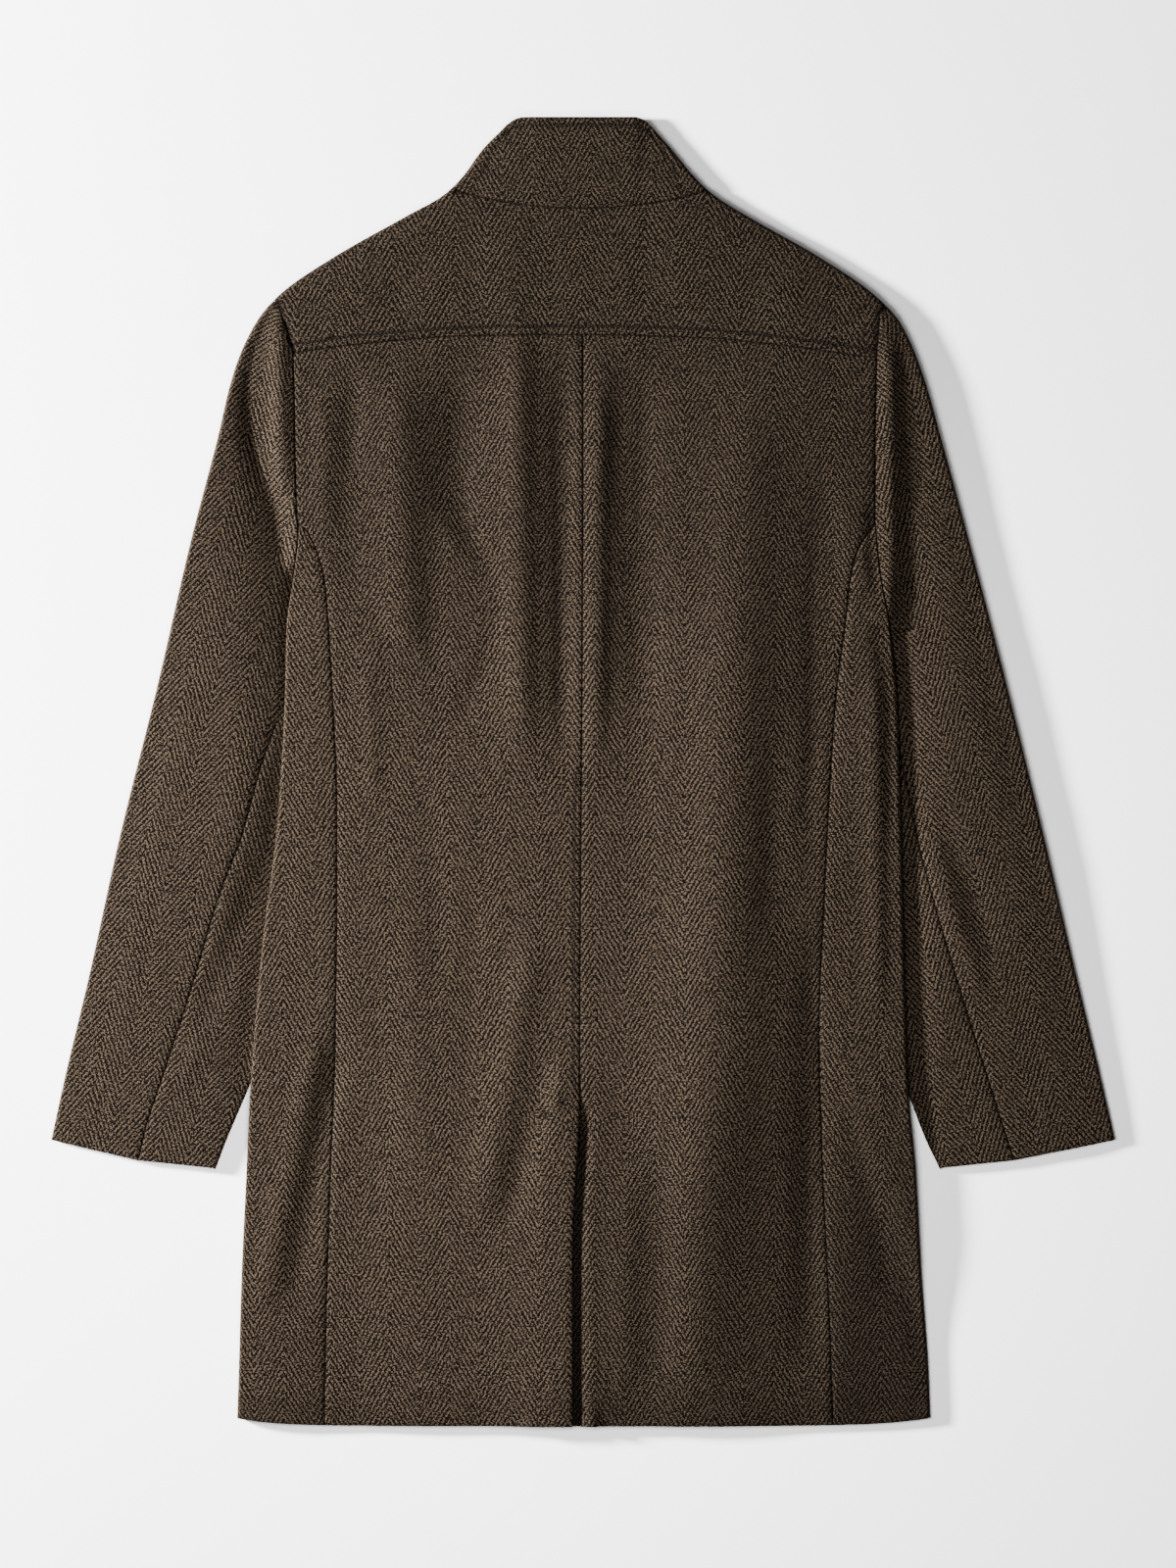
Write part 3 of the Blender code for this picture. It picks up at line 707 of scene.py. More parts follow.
@dataclass
class Lie:
    """How high each layer of the coat lies at a place.

    Attributes:
        lift_more: How much further in than the front the back rises over the tucked sleeve.
        lift_ramp: Over what width it rises there.
        clearance: How far the back stays above the layers beneath it.
        shoulder_low: How high the cloth lies at the shoulder's fold, as a share of its full height.
        shoulder_width: Over what width it rises to that.
        rim_width: Over what width a sleeve rises from its outer fold.
        emerging: Over what width a sleeve comes out from under the body's fold.
        join_length: Over what length above the fold's tip the sleeve comes up to the body.
        least_slope: The least width of the slope from the valley up to the armhole.
    """

    lift_more: float = 22.0
    lift_ramp: float = 45.0
    clearance: float = 0.2
    shoulder_low: float = 0.9
    shoulder_width: float = 40.0
    rim_width: float = 36.0
    emerging: float = 5.0
    join_length: float = 14.0
    least_slope: float = 4.0

    def __post_init__(self) -> None:
        """Reads the tables of the back."""
        self.middle = Curve(BACK_RISE.pairs("middle"))
        self.back_creases = BACK_CREASES + FINE_BACK_CREASES

    @staticmethod
    def half(place: Vector) -> HalfLines:
        """The half that a place is on."""
        return LINES[Side.LEFT if place.x < 0 else Side.RIGHT]

    @staticmethod
    def unevenness(place: Vector, creases: Sequence[Crease]) -> float:
        """How far some creases and the cloth's ripple raise it at a place."""
        return sum(crease.at(place) for crease in creases) + sum(ripple.at(place) for ripple in RIPPLES)

    @staticmethod
    def lifted(lines: HalfLines, place: Vector, margin: float, ramp: float) -> float:
        """How far the tucked sleeve lifts what lies on it: 1 over the sleeve, 0 clear of it."""
        inside = lines.across(place) - (lines.reach(min(place.y, REACH.top)) - margin - ramp)
        return smooth(inside / ramp) * (1 - LIFT_END.at(place.y))

    def front_under(self, place: Vector, side: Side) -> float:
        """The height of a front's lower face."""
        height = LIFT * self.lifted(self.half(place), place, LIFT_MARGIN, LIFT_RAMP)
        if side is Side.RIGHT:
            height += (WALL + GAP) * smooth((FRONT_OVERLAP + OVERLAP_RAMP - place.x) / OVERLAP_RAMP)
        return height

    def pile(self, place: Vector) -> float:
        """The least height at which the back clears the layers beneath it."""
        lifted = self.lifted(self.half(place), place, LIFT_MARGIN + self.lift_more, self.lift_ramp)
        height = LIFT * lifted + 2 * WALL + GAP + (WALL + GAP) * OVER_FRONTS.at(abs(place.x))
        if place.y < UNDERLAP_COVER_Y:
            over = OVER_UNDERLAP_LEFT.at(place.x) * OVER_UNDERLAP_RIGHT.at(place.x)
            height += (WALL + 2 * GAP) * over
        return height

    def back(self, place: Vector) -> float:
        """The height of the back's outer face."""
        lines = self.half(place)
        across = lines.across(place)
        height = mix(self.middle(place.y), lines.rise(place.y), TO_SIDE.at(across))
        height += self.unevenness(place, self.back_creases)
        if place.y < lines.tip_y:
            inside = lines.edge(place.y) - across
            fall = mix(lines.edge_fall, lines.chest_fall, CHEST.at(place.y))
            height *= 1 - fall * (1 - smooth(inside / lines.edge_width))
        if place.y > lines.shoulder_y:
            inside = lines.outline(place.y) - across
            height *= mix(self.shoulder_low, 1.0, smooth(inside / self.shoulder_width))
        height -= HEM_DROOP * (1 - smooth(place.y / HEM_DROOP_WIDTH))
        return smooth_maximum(height, self.pile(place) + self.clearance)

    def sleeve(self, lines: HalfLines, place: Vector) -> float:
        """The height of a sleeve's upper face, from its round to the valley beside the body."""
        across, y = lines.across(place), place.y
        rim = 1 - mix(lines.rim_fall, lines.head_fall, SLEEVE_HEAD.at(y))
        crest = lines.crest(y) * mix(rim, 1.0, smooth((lines.outline(y) - across) / self.rim_width))
        crest += self.unevenness(place, SLEEVE_CREASES[lines.side])
        if y < lines.tip_y - TIP_STEP or across < lines.armhole_across(y):
            clear = across - lines.edge(y)
            foot = mix(TUCKED_SLEEVE, lines.valley_z(y), smooth(clear / self.emerging))
            out = bulged((clear - lines.rise_start) / lines.crest_width(y))
            return foot + max(0.0, crest - foot) * out
        valley, floor = lines.valley(y), lines.valley_z(y)
        if across >= valley:
            return mix(floor, crest, bulged((across - valley) / lines.crest_width(y)))
        seam = lines.armhole_across(y)
        joining = smooth((y - lines.tip_y + TIP_STEP) / self.join_length)
        joined = mix(floor, self.back(lines.at(seam, y)), joining)
        part = smooth((valley - across) / max(self.least_slope, valley - seam))
        return mix(floor, joined, part) + HEAD_RIDGE[lines.side].at(place)


def on_floor(place: Vector) -> float:
    """The height of a lower face that lies on the floor."""
    return 0.0


@dataclass(frozen=True)
class Spot:
    """One point of a piece.

    Attributes:
        co: Where it lies.
        cloth: Where it is on the flat cut cloth.
        hollow: How deep it is in a row of stitches, from 0 to 1, which also sets the shade painted there.
    """

    co: Vector
    cloth: Vector
    hollow: float = 0.0


@dataclass(frozen=True)
class FoldedEdge:
    """The way across a piece that runs over a folded edge.

    Attributes:
        counts: Steps on top, round the fold and beneath.
        top_seam: Where it starts on top.
        crease: The outermost point of the fold.
        inward: The way in from the crease.
        radius: How far in the round starts.
        under_seam: Where it ends beneath.
        high: The height of its upper face at a place.
        low: The height of its lower face at a place.
    """

    counts: tuple[int, int, int]
    top_seam: Vector
    crease: Vector
    inward: Vector
    radius: float
    under_seam: Vector
    high: Callable[[Vector], float]
    low: Callable[[Vector], float]

    def spot(self, step: int, depth: float) -> Spot:
        """The point at a step across, a depth into the wall.

        Args:
            step: Which step, from the seam on top to the seam beneath.
            depth: 0 on the outer face, the wall's thickness on the inner one.

        Returns:
            The point.
        """
        on_top, round_fold, _ = self.counts
        turn = self.crease + self.inward * self.radius
        if step <= on_top:
            place = self.top_seam.lerp(turn, eased(step / on_top))
            return Spot(Vector((place.x, place.y, self.high(place) - depth)), place)
        base = self.low(turn)
        half_height = (self.high(turn) - base) / 2
        girth = math.pi * (self.radius + half_height) / 2
        if step < on_top + round_fold:
            part = (step - on_top) / round_fold
            angle = math.pi * (0.5 - part)
            place = turn - self.inward * (self.radius - depth) * math.cos(angle)
            height = base + half_height + (half_height - depth) * math.sin(angle)
            return Spot(Vector((place.x, place.y, height)), turn - self.inward * girth * part)
        part = (step - on_top - round_fold) / self.counts[2]
        place = turn.lerp(self.under_seam, part)
        inside = (place - turn).dot(self.inward)
        unrolled = place - self.inward * (girth + 2 * inside)
        return Spot(Vector((place.x, place.y, self.low(place) + depth)), unrolled)


@dataclass(frozen=True)
class Cut:
    """A piece's flat cut.

    Attributes:
        width: Its greatest width in metres.
        length: Its greatest length in metres.
        area: Its area in square metres.
    """

    width: float
    length: float
    area: float


@dataclass(frozen=True)
class Grain:
    """How the weave runs on a piece, and the light and shade painted on it.

    Attributes:
        turn: How far the warp is turned from the coat's length, in degrees.
        mirror: -1 where the weave is mirrored across, else 1.
        start: Where the point of the first chevron is, across the piece.
        scale: How wide the chevrons are beside those of the back.
        painted_lightness: The share that multiplies the piece's colour: painted light above 1, painted shade
            below it.
        upper: By what share it is painted darker from the chest up, as painted shade.
        lower: By what share it is painted darker towards the hem, as painted shade.
    """

    turn: float = 0.0
    mirror: int = 1
    start: float = 0.0
    scale: float = 1.0
    painted_lightness: float = 1.0
    upper: float = 0.0
    lower: float = 0.0

    def shade(self, y: float) -> float:
        """The light and shade painted on the piece at a place along the coat, as a share of its colour."""
        darker = (1 - self.upper * UPPER_BACK.at(y)) * (1 - self.lower * LOWER_BACK.at(y))
        return self.painted_lightness * darker

    def weave(self, cloth: Vector) -> tuple[float, float]:
        """The weave's own coordinates of a place on the flat cloth, in metres."""
        angle = math.radians(self.turn)
        across = cloth.x * math.cos(angle) + cloth.y * math.sin(angle)
        along = cloth.y * math.cos(angle) - cloth.x * math.sin(angle)
        return (self.mirror * across - self.start) / self.scale * MM, along / self.scale * MM


@dataclass
class ClothPiece:
    """One cut piece of the coat, built as a closed wall of cloth.

    Attributes:
        node: The solid it stands for.
        lie: How high the layers lie.
        cut: Its flat cut, which is not used.
        grain: How its weave runs.
        rests_on: The solids it lies on, which are not used.
        wall: The cloth's thickness.
    """

    node: str
    lie: Lie
    cut: Cut
    grain: Grain
    rests_on: tuple[str, ...] = ()
    wall: float = WALL

    def grid(self) -> tuple[int, int]:
        """The columns and rows of the piece's grid."""
        raise NotImplementedError

    def spot(self, column: int, row: int, depth: float) -> Spot:
        """One point of the piece, a depth into its wall."""
        raise NotImplementedError

    def keeps(self, column: int, row: int) -> bool:
        """Whether the piece has this cell of its grid."""
        return True

    def shell(self) -> bmesh.types.BMesh:
        """The piece's closed wall: its grid, given a wall and moved to where the cloth lies."""
        columns, rows = self.grid()
        mesh = bmesh.new()
        shade = mesh.verts.layers.float.new("shade")
        weave = mesh.loops.layers.uv.new("weave")
        bmesh.ops.create_grid(mesh, x_segments=columns, y_segments=rows, size=0.5)
        away = []
        for face in mesh.faces:
            middle = face.calc_center_median()
            if not self.keeps(int((middle.x + 0.5) * columns), int((middle.y + 0.5) * rows)):
                away.append(face)
        if away:
            bmesh.ops.delete(mesh, geom=away, context="FACES")
        outer = set(mesh.verts)
        seam = [vert for vert in mesh.verts if vert.is_boundary]
        bmesh.ops.extrude_face_region(mesh, geom=mesh.faces[:], use_keep_orig=True)
        cloth = {}
        for vert in mesh.verts:
            column = round((vert.co.x + 0.5) * columns)
            row = round((vert.co.y + 0.5) * rows)
            depth = 0.0 if vert in outer else self.wall
            spot = self.spot(column, row, depth)
            vert.co = spot.co
            # The piece's painted light and shade, painted darker in its rows of stitches and in the vent's
            # slit
            vert[shade] = self.grain.shade(spot.co.y) * (1 - STITCH_SHADE * spot.hollow)
            cloth[vert] = self.grain.weave(spot.cloth + Vector((depth, depth)))
        self.draw_down_seams(outer, seam, shade)
        for face in mesh.faces:
            for loop in face.loops:
                loop[weave].uv = cloth[loop.vert]
        bmesh.ops.translate(mesh, verts=mesh.verts[:], vec=(0, -ORIGIN_Y, 0))
        bmesh.ops.scale(mesh, verts=mesh.verts[:], vec=(MM, MM, MM))
        bmesh.ops.recalc_face_normals(mesh, faces=mesh.faces[:])
        if mesh.calc_volume(signed=True) < 0:
            bmesh.ops.reverse_faces(mesh, faces=mesh.faces[:])
        return mesh

    def build(self, finish: bpy.types.Material) -> bpy.types.Object:
        """Makes the piece, puts it in place of its solid and hides the solid.

        Args:
            finish: The cloth's material.

        Returns:
            The piece's object.
        """
        piece = object_of(self.shell(), f"cloth_{self.node}", finish)
        piece.data.set_sharp_from_angle(angle=math.radians(SHARP_ANGLE))
        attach(piece, "root")
        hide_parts(self.node)
        return piece

    @staticmethod
    def draw_down_seams(outer: set, seam: list, shade: bmesh.types.BMLayerItem) -> None:
        """Draws the outer face down beside its seams, as stitching and pressing do, and paints shade in
        them.

        Args:
            outer: The outer face's points.
            seam: Those of them on the piece's edge.
            shade: The layer of light and shade painted on the wool, painted darker deep in a seam.
        """
        tree = kdtree.KDTree(len(seam))
        for index, vert in enumerate(seam):
            tree.insert(vert.co, index)
        tree.balance()
        dips = {}
        for vert in outer:
            distance = tree.find(vert.co)[2]
            if vert.co.z > SEAM_LEAST_Z and distance < 3 * SEAM_DIP_WIDTH:
                crack = math.exp(-((distance / SEAM_CRACK_WIDTH) ** 2))
                dips[vert] = SEAM_DIP * math.exp(-((distance / SEAM_DIP_WIDTH) ** 2)) + SEAM_CRACK * crack
                # Painted shade deep in the seam
                vert[shade] *= 1 - SEAM_SHADE * crack
        for vert, dip in dips.items():
            vert.co.z -= dip


def object_of(mesh: bmesh.types.BMesh, name: str, finish: bpy.types.Material) -> bpy.types.Object:
    """Turns a finished bmesh into a shaded object at the origin.

    Args:
        mesh: The bmesh, which is freed.
        name: The object's name.
        finish: Its material.

    Returns:
        The object, linked to the scene.
    """
    data = bpy.data.meshes.new(name)
    mesh.to_mesh(data)
    mesh.free()
    data.materials.append(finish)
    data.shade_smooth()
    made = bpy.data.objects.new(name, data)
    bpy.context.scene.collection.objects.link(made)
    return made


def hem_y(x: float) -> float:
    """The hem, turned up a little towards its corners."""
    return HEM_Y + HEM_TURN * (abs(x) / HEM_CORNER_X) ** 8


def centre_seam(y: float) -> float:
    """The centre back seam, and below the vent the edge of its upper flap."""
    return -SEAM_SLANT_X * SEAM_SLANT.at(y) - FLAP_SLANT_X * FLAP_SLANT.at(y)


def side_seam_beneath(y: float) -> float:
    """The straight seam between side and front, on the underside."""
    return mix(*SIDE_SEAM_BENEATH, y / SIDE_TOP_Y)


@dataclass
class BackPanel(ClothPiece):
    """One half of the back below the yoke. The right one runs on under the vent.

    Attributes:
        side: Which half.
        columns: Columns from the centre seam to the side.
        flap_columns: Columns of the underlap.
        finer: Into how many rows each step between the body's levels is cut.
        upper: Rows above the side panel's top.
        upper_step: How much larger than even the first of those rows is.
        hem_level: The level whose width sets how the hem's rows spread.
        free_gap: How far from the flap's edge the right half starts beneath it.
        free: Where, going down, that gap opens.
        under_flap: Where the right half goes under the flap, out from the flap's edge.
        tuck: Where, going down, it does so.
        shaded: Where the flap's shadow is painted in the slit beside it, out from the flap's edge.
        slit: Where, going down, that painted shadow fades in.
        slit_hollow: How dark the flap's painted shadow is, and how far the slit is dented, as a row of
            stitches is.
    """

    side: Side = Side.LEFT
    columns: int = 92
    flap_columns: int = 14
    finer: int = 5
    upper: int = 40
    upper_step: float = 1.85
    hem_level: float = 400.0
    free_gap: float = 1.0
    free: Ramp = Ramp(VENT_TOP_Y + 14, VENT_TOP_Y)
    under_flap: Ramp = Ramp(16.0, 1.0)
    tuck: Ramp = Ramp(VENT_TOP_Y + 1, VENT_TOP_Y - 29)
    shaded: Ramp = Ramp(9.0, 6.0)
    slit: Ramp = Ramp(VENT_TOP_Y, VENT_TOP_Y - 40)
    slit_hollow: float = 0.9

    def __post_init__(self) -> None:
        """Works out the levels of its rows."""
        self.lines = LINES[self.side]
        self.underlap = self.flap_columns if self.side is Side.RIGHT else 0
        self.levels = spread((*BODY_LEVELS, SIDE_TOP_Y + HALF_GAP), self.finer)
        self.vent_row = BODY_LEVELS.index(VENT_TOP_Y) * self.finer

    def grid(self) -> tuple[int, int]:
        """The columns and rows of the piece's grid."""
        return self.columns + self.underlap, len(self.levels) - 1 + self.upper

    def outer_seam(self, y: float) -> float:
        """The seam to the side panel, and above it the armhole."""
        if y <= SIDE_TOP_Y:
            return self.lines.side_seam(y) - HALF_GAP
        rise = min(1.0, (y - SIDE_TOP_Y) / (ARMHOLE.foot - SIDE_TOP_Y))
        low = self.lines.side_seam(SIDE_TOP_Y)
        return mix(low, self.lines.armhole_across(max(y, ARMHOLE.foot)), rise) - GAP

    def level(self, row: int, x: float) -> float:
        """How far up the coat a row lies."""
        if row < self.finer:
            return mix(hem_y(x), BODY_LEVELS[1], (row / self.finer) ** 2)
        if row < len(self.levels):
            return self.levels[row]
        part = closing((row - len(self.levels) + 1) / self.upper, self.upper_step)
        return mix(SIDE_TOP_Y + HALF_GAP, YOKE_SEAM_Y(x) - HALF_GAP, part)

    def spot(self, column: int, row: int, depth: float) -> Spot:
        """One point of the piece, a depth into its wall."""
        part = (column - self.underlap) / self.columns
        sign = self.lines.sign
        y = self.level(row, sign * self.lines.side_seam(self.hem_level) * max(part, 0))
        edge = centre_seam(y)
        seam = edge + sign * mix(HALF_GAP, self.free_gap, self.free.at(y) if self.underlap else 0.0)
        if part >= 0:
            x = mix(seam, sign * self.outer_seam(y), eased(part))
        else:
            x = seam + VENT_UNDERLAP * part * self.columns / self.underlap
        place = Vector((x, self.level(row, x)))
        height = self.lie.back(place)
        hollow = vent_hollow(place) if self.side is Side.LEFT else 0.0
        if self.underlap and row <= self.vent_row:
            tucked = self.under_flap.at(x - edge) * self.tuck.at(y)
            height -= (WALL + 2 * GAP) * (tucked if part >= 0 else 1.0)
            # The flap's shadow painted into the slit, with a slight dent
            hollow = self.slit_hollow * self.shaded.at(x - edge) * self.slit.at(y)
        height -= STITCH_DENT * hollow
        return Spot(Vector((place.x, place.y, height - depth)), place, hollow)

    def keeps(self, column: int, row: int) -> bool:
        """Leaves out the underlap above the vent."""
        return column >= self.underlap or row < self.vent_row - self.finer


# The row of stitches that slants across the top of the vent, from the centre seam outwards
VENT_STITCH = (Vector((-4.5, 265.0)), Vector((-35.0, 246.0)))
# The fainter row beside the centre seam, from the vent up to where it fades out
CENTRE_STITCH_INSET = 4.8
CENTRE_STITCH_DEPTH = 0.5
CENTRE_STITCH_TOP = 520.0
CENTRE_STITCH_FOOT = Ramp(VENT_TOP_Y, VENT_TOP_Y + 5)
CENTRE_STITCH_END = Ramp(CENTRE_STITCH_TOP, CENTRE_STITCH_TOP - 40)


def hollow_at(distance: float) -> float:
    """How deep the cloth is in a row of stitches, from 0 to 1, at a distance from it."""
    return math.exp(-((distance / STITCH_DENT_WIDTH) ** 2))


def vent_hollow(place: Vector) -> float:
    """How deep a place is in the rows of stitches at the top of the vent and over it."""
    run = VENT_STITCH[1] - VENT_STITCH[0]
    offset = place - VENT_STITCH[0]
    along = offset.dot(run) / run.length_squared
    slanting = hollow_at((offset - run * along).length) if 0 <= along <= 1 else 0.0
    beside = centre_seam(place.y) - CENTRE_STITCH_INSET - place.x
    faded = CENTRE_STITCH_FOOT.at(place.y) * CENTRE_STITCH_END.at(place.y)
    return max(slanting, CENTRE_STITCH_DEPTH * faded * hollow_at(beside))


def centre_stitch(part: float) -> Vector:
    """A point of the row beside the lower half of the centre back seam."""
    y = mix(VENT_TOP_Y, CENTRE_STITCH_TOP, part)
    return Vector((centre_seam(y) - CENTRE_STITCH_INSET, y))


@dataclass
class SidePanel(ClothPiece):
    """The panel between back and front, folded round the side of the body.

    Attributes:
        side: Which half.
        counts: Columns on top, round the fold and beneath.
        finer: Into how many rows each step between the body's levels is cut.
        tip_roll: The fold's radius at its upper end.
        tip_length: Over what length it comes down to that.
        top_share: How much of the way from its top to the armhole's foot it reaches at its fold.
    """

    side: Side = Side.LEFT
    counts: tuple[int, int, int] = (22, ROLL_STEPS, 7)
    finer: int = 5
    tip_roll: float = 1.0
    tip_length: float = 40.0
    top_share: float = 0.9

    def __post_init__(self) -> None:
        """Works out the levels of its rows."""
        self.lines = LINES[self.side]
        self.levels = spread((*BODY_LEVELS, SIDE_TOP_Y), self.finer)

    def grid(self) -> tuple[int, int]:
        """The columns and rows of the piece's grid."""
        return sum(self.counts), len(self.levels) - 1

    def spot(self, column: int, row: int, depth: float) -> Spot:
        """One point of the piece, a depth into its wall."""
        y = self.levels[row] if row >= self.finer else BODY_LEVELS[1] * (row / self.finer) ** 2
        edge, seam = self.lines.edge(y), self.lines.side_seam(y) + HALF_GAP
        near_tip = smooth((y - self.lines.tip_y + self.tip_length) / self.tip_length)
        spot = FoldedEdge(
            counts=self.counts,
            top_seam=self.lines.at(seam, y),
            crease=self.lines.at(edge, y),
            inward=self.lines.at(-1, 0),
            radius=mix(SIDE_ROLL, self.tip_roll, near_tip),
            under_seam=self.lines.at(side_seam_beneath(y), y),
            high=self.lie.back,
            low=lambda place: self.lie.front_under(place, Side.LEFT),
        ).spot(column, depth)
        x = spot.co.x
        if row < self.finer:
            spot.co.y += hem_y(x) * (1 - (row / self.finer) ** 2)
        last = row - (len(self.levels) - 1 - self.finer)
        if last > 0:
            out = smooth((abs(x) - seam) / (edge - seam))
            spot.co.y += (ARMHOLE.foot - SIDE_TOP_Y) * out * self.top_share * last / self.finer
        return spot


@dataclass
class FrontPanel(ClothPiece):
    """A front, lying on the floor and over the tucked sleeve. The left one is outermost.

    Attributes:
        side: Which half.
        finer: Into how many columns and rows each step of its grid is cut.
        upper: Rows above its levels.
        shoulder_steps: Steps along its shoulder seam.
        least_lifted: The least width at its side that lies fully lifted over the sleeve.
        least_lift: The least width there with the slope down from it.
    """

    side: Side = Side.LEFT
    finer: int = 3
    upper: int = 12
    shoulder_steps: int = 5
    least_lifted: float = 9.0
    least_lift: float = 30.0

    def __post_init__(self) -> None:
        """Works out the levels of its rows and its upper edge."""
        self.lines = LINES[self.side]
        self.levels = spread(FRONT_LEVELS, self.finer)
        stations = shoulder_stations(self.lines, self.shoulder_steps)
        top = [shoulder_under(self.lines, y) + self.lines.on_outline(y)[1] * GAP for y in stations]
        top += [self.lines.at(across + GAP, y - GAP) for across, y in FRONT_NECK[:-1]]
        top += [self.lines.at(-FRONT_OVERLAP, FRONT_TOP_Y)]
        self.top = spread(top, self.finer)

    def grid(self) -> tuple[int, int]:
        """The columns and rows of the piece's grid."""
        return len(self.top) - 1, len(self.levels) - 1 + self.upper

    def armhole(self, y: float) -> float:
        """The seam to the side panel, and above it the front half of the armhole."""
        if y <= SIDE_TOP_Y:
            return side_seam_beneath(y) - GAP
        if y < FRONT_ARMHOLE_Y:
            high = self.lines.front_sleeve_seam(FRONT_ARMHOLE_Y)
            part = (y - SIDE_TOP_Y) / (FRONT_ARMHOLE_Y - SIDE_TOP_Y)
            return mix(SIDE_SEAM_BENEATH[1], high, part) - GAP
        return self.lines.front_sleeve_seam(y) - GAP

    def across(self, y: float) -> list[float]:
        """How far across each column lies in a row below the armhole's top."""
        seam = self.armhole(y)
        full = min(self.lines.reach(y) - LIFT_MARGIN, seam - self.least_lifted)
        clear = min(full - LIFT_RAMP, seam - self.least_lift)
        overlap = FRONT_OVERLAP + OVERLAP_RAMP
        spans = ((seam, full, 3), (full, clear, 2), (clear, overlap, 4), (overlap, FRONT_OVERLAP, 1))
        line = [mix(start, end, step / steps) for start, end, steps in spans for step in range(steps)]
        return spread((*line, FRONT_OVERLAP, -FRONT_OVERLAP), self.finer)

    def spot(self, column: int, row: int, depth: float) -> Spot:
        """One point of the piece, a depth into its wall."""
        y = self.levels[min(row, len(self.levels) - 1)]
        place = self.lines.at(self.across(y)[column], y)
        if row < self.finer:
            place.y += hem_y(place.x) * (1 - row / self.finer)
        if row >= len(self.levels):
            part = (row - len(self.levels) + 1) / self.upper
            place = place.lerp(self.top[column], part)
            if column < self.finer and part < 1:
                bound = self.lines.at(self.armhole(place.y), place.y)
                place = bound.lerp(place, column / self.finer)
        return Spot(Vector((place.x, place.y, self.lie.front_under(place, self.side) + depth)), place)


def shoulder_stations(lines: HalfLines, steps: int) -> list[float]:
    """The heights of the stations along a shoulder's outline."""
    start, end = lines.shoulder_y + END_GAP, lines.neck_y - END_GAP
    return [mix(start, end, step / steps) for step in range(steps + 1)]


def shoulder_under(lines: HalfLines, y: float) -> Vector:
    """The shoulder seam beneath, where the yoke meets the front."""
    crease, inward = lines.on_outline(y)
    return crease + inward * YOKE_WRAP


def yoke_stitch_y(x: float) -> float:
    """The row of topstitching above the yoke's seam."""
    return YOKE_SEAM_Y(x) + STITCH_INSET


@dataclass
class Yoke(ClothPiece):
    """The yoke, from the seam across the back to the collar and over both shoulders.

    Attributes:
        counts: Rows on top, round the fold of the shoulder and beneath.
        shoulder_steps: Columns over each shoulder.
        neck_steps: Columns along the collar.
        first_rows: How far from its seam the first rows lie, close together at the stitches.
        upper_step: How much larger than even the first of the other rows is.
        neck_margin: How far from the collar's seam the last of them lies.
    """

    counts: tuple[int, int, int] = (44, ROLL_STEPS, 3)
    shoulder_steps: int = 20
    neck_steps: int = 48
    first_rows: tuple[float, ...] = (0, 0.5, 1.1, 2, 3.2, 4.4, 5.2, 5.9, 6.5, 7.1, 7.8, 8.8, 10.5, 13)
    upper_step: float = 1.7
    neck_margin: float = 0.5

    def __post_init__(self) -> None:
        """Works out the stations of its upper edge."""
        left, right = (
            [(lines, y) for y in shoulder_stations(lines, self.shoulder_steps)] for lines in LINES.values()
        )
        start, end = COLLAR_SEAM[0][0], COLLAR_SEAM[-1][0]
        neck = [mix(start, end, step / self.neck_steps) for step in range(1, self.neck_steps)]
        self.stations = [*left, *neck, *reversed(right)]
        self.ends = [lines.on_outline(y)[0].x for lines, y in (left[0], right[0])]

    def grid(self) -> tuple[int, int]:
        """The columns and rows of the piece's grid."""
        return len(self.stations) - 1, sum(self.counts)

    def spot(self, column: int, row: int, depth: float) -> Spot:
        """One point of the piece, a depth into its wall."""
        station = self.stations[column]
        if isinstance(station, float):
            crease = Vector((station, COLLAR_SEAM_Y(station) - HALF_GAP))
            inward, radius, under = Vector((0, -1)), 0.0, crease
        else:
            crease, inward = station[0].on_outline(station[1])
            radius, under = SHOULDER_ROLL, shoulder_under(*station)
        share = (crease.x - self.ends[0]) / (self.ends[1] - self.ends[0])
        seam_x = mix(YOKE_SEAM[0][0] + GAP, YOKE_SEAM[-1][0] - GAP, share)
        seam = Vector((seam_x, YOKE_SEAM_Y(seam_x) + HALF_GAP))
        if row < self.counts[0]:
            end = crease + inward * (radius + (CAP_MARGIN if radius else self.neck_margin))
            total, near = (end - seam).length, len(self.first_rows) - 1
            if row <= near:
                place = seam.lerp(end, self.first_rows[row] / total)
            else:
                part = closing((row - near) / (self.counts[0] - 1 - near), self.upper_step)
                place = seam.lerp(end, mix(self.first_rows[-1] / total, 1.0, part))
            hollow = hollow_at(place.y - yoke_stitch_y(place.x))
            height = self.lie.back(place) - STITCH_DENT * hollow
            return Spot(Vector((place.x, place.y, height - depth)), place, hollow)
        fold = FoldedEdge(self.counts, seam, crease, inward, radius, under, self.lie.back, on_floor)
        return fold.spot(row, depth)

    def keeps(self, column: int, row: int) -> bool:
        """Leaves out what would run over the neck, where the collar starts."""
        left = self.shoulder_steps
        return row < self.counts[0] or not left <= column < left + self.neck_steps


def collar_top(x: float) -> float:
    """The collar's upper edge, rounded at its corners."""
    corner = max(0.0, abs(x - COLLAR_TOP_X) - COLLAR_LEVEL) / COLLAR_CORNER
    return LENGTH - COLLAR_CORNER_DROP * corner * corner


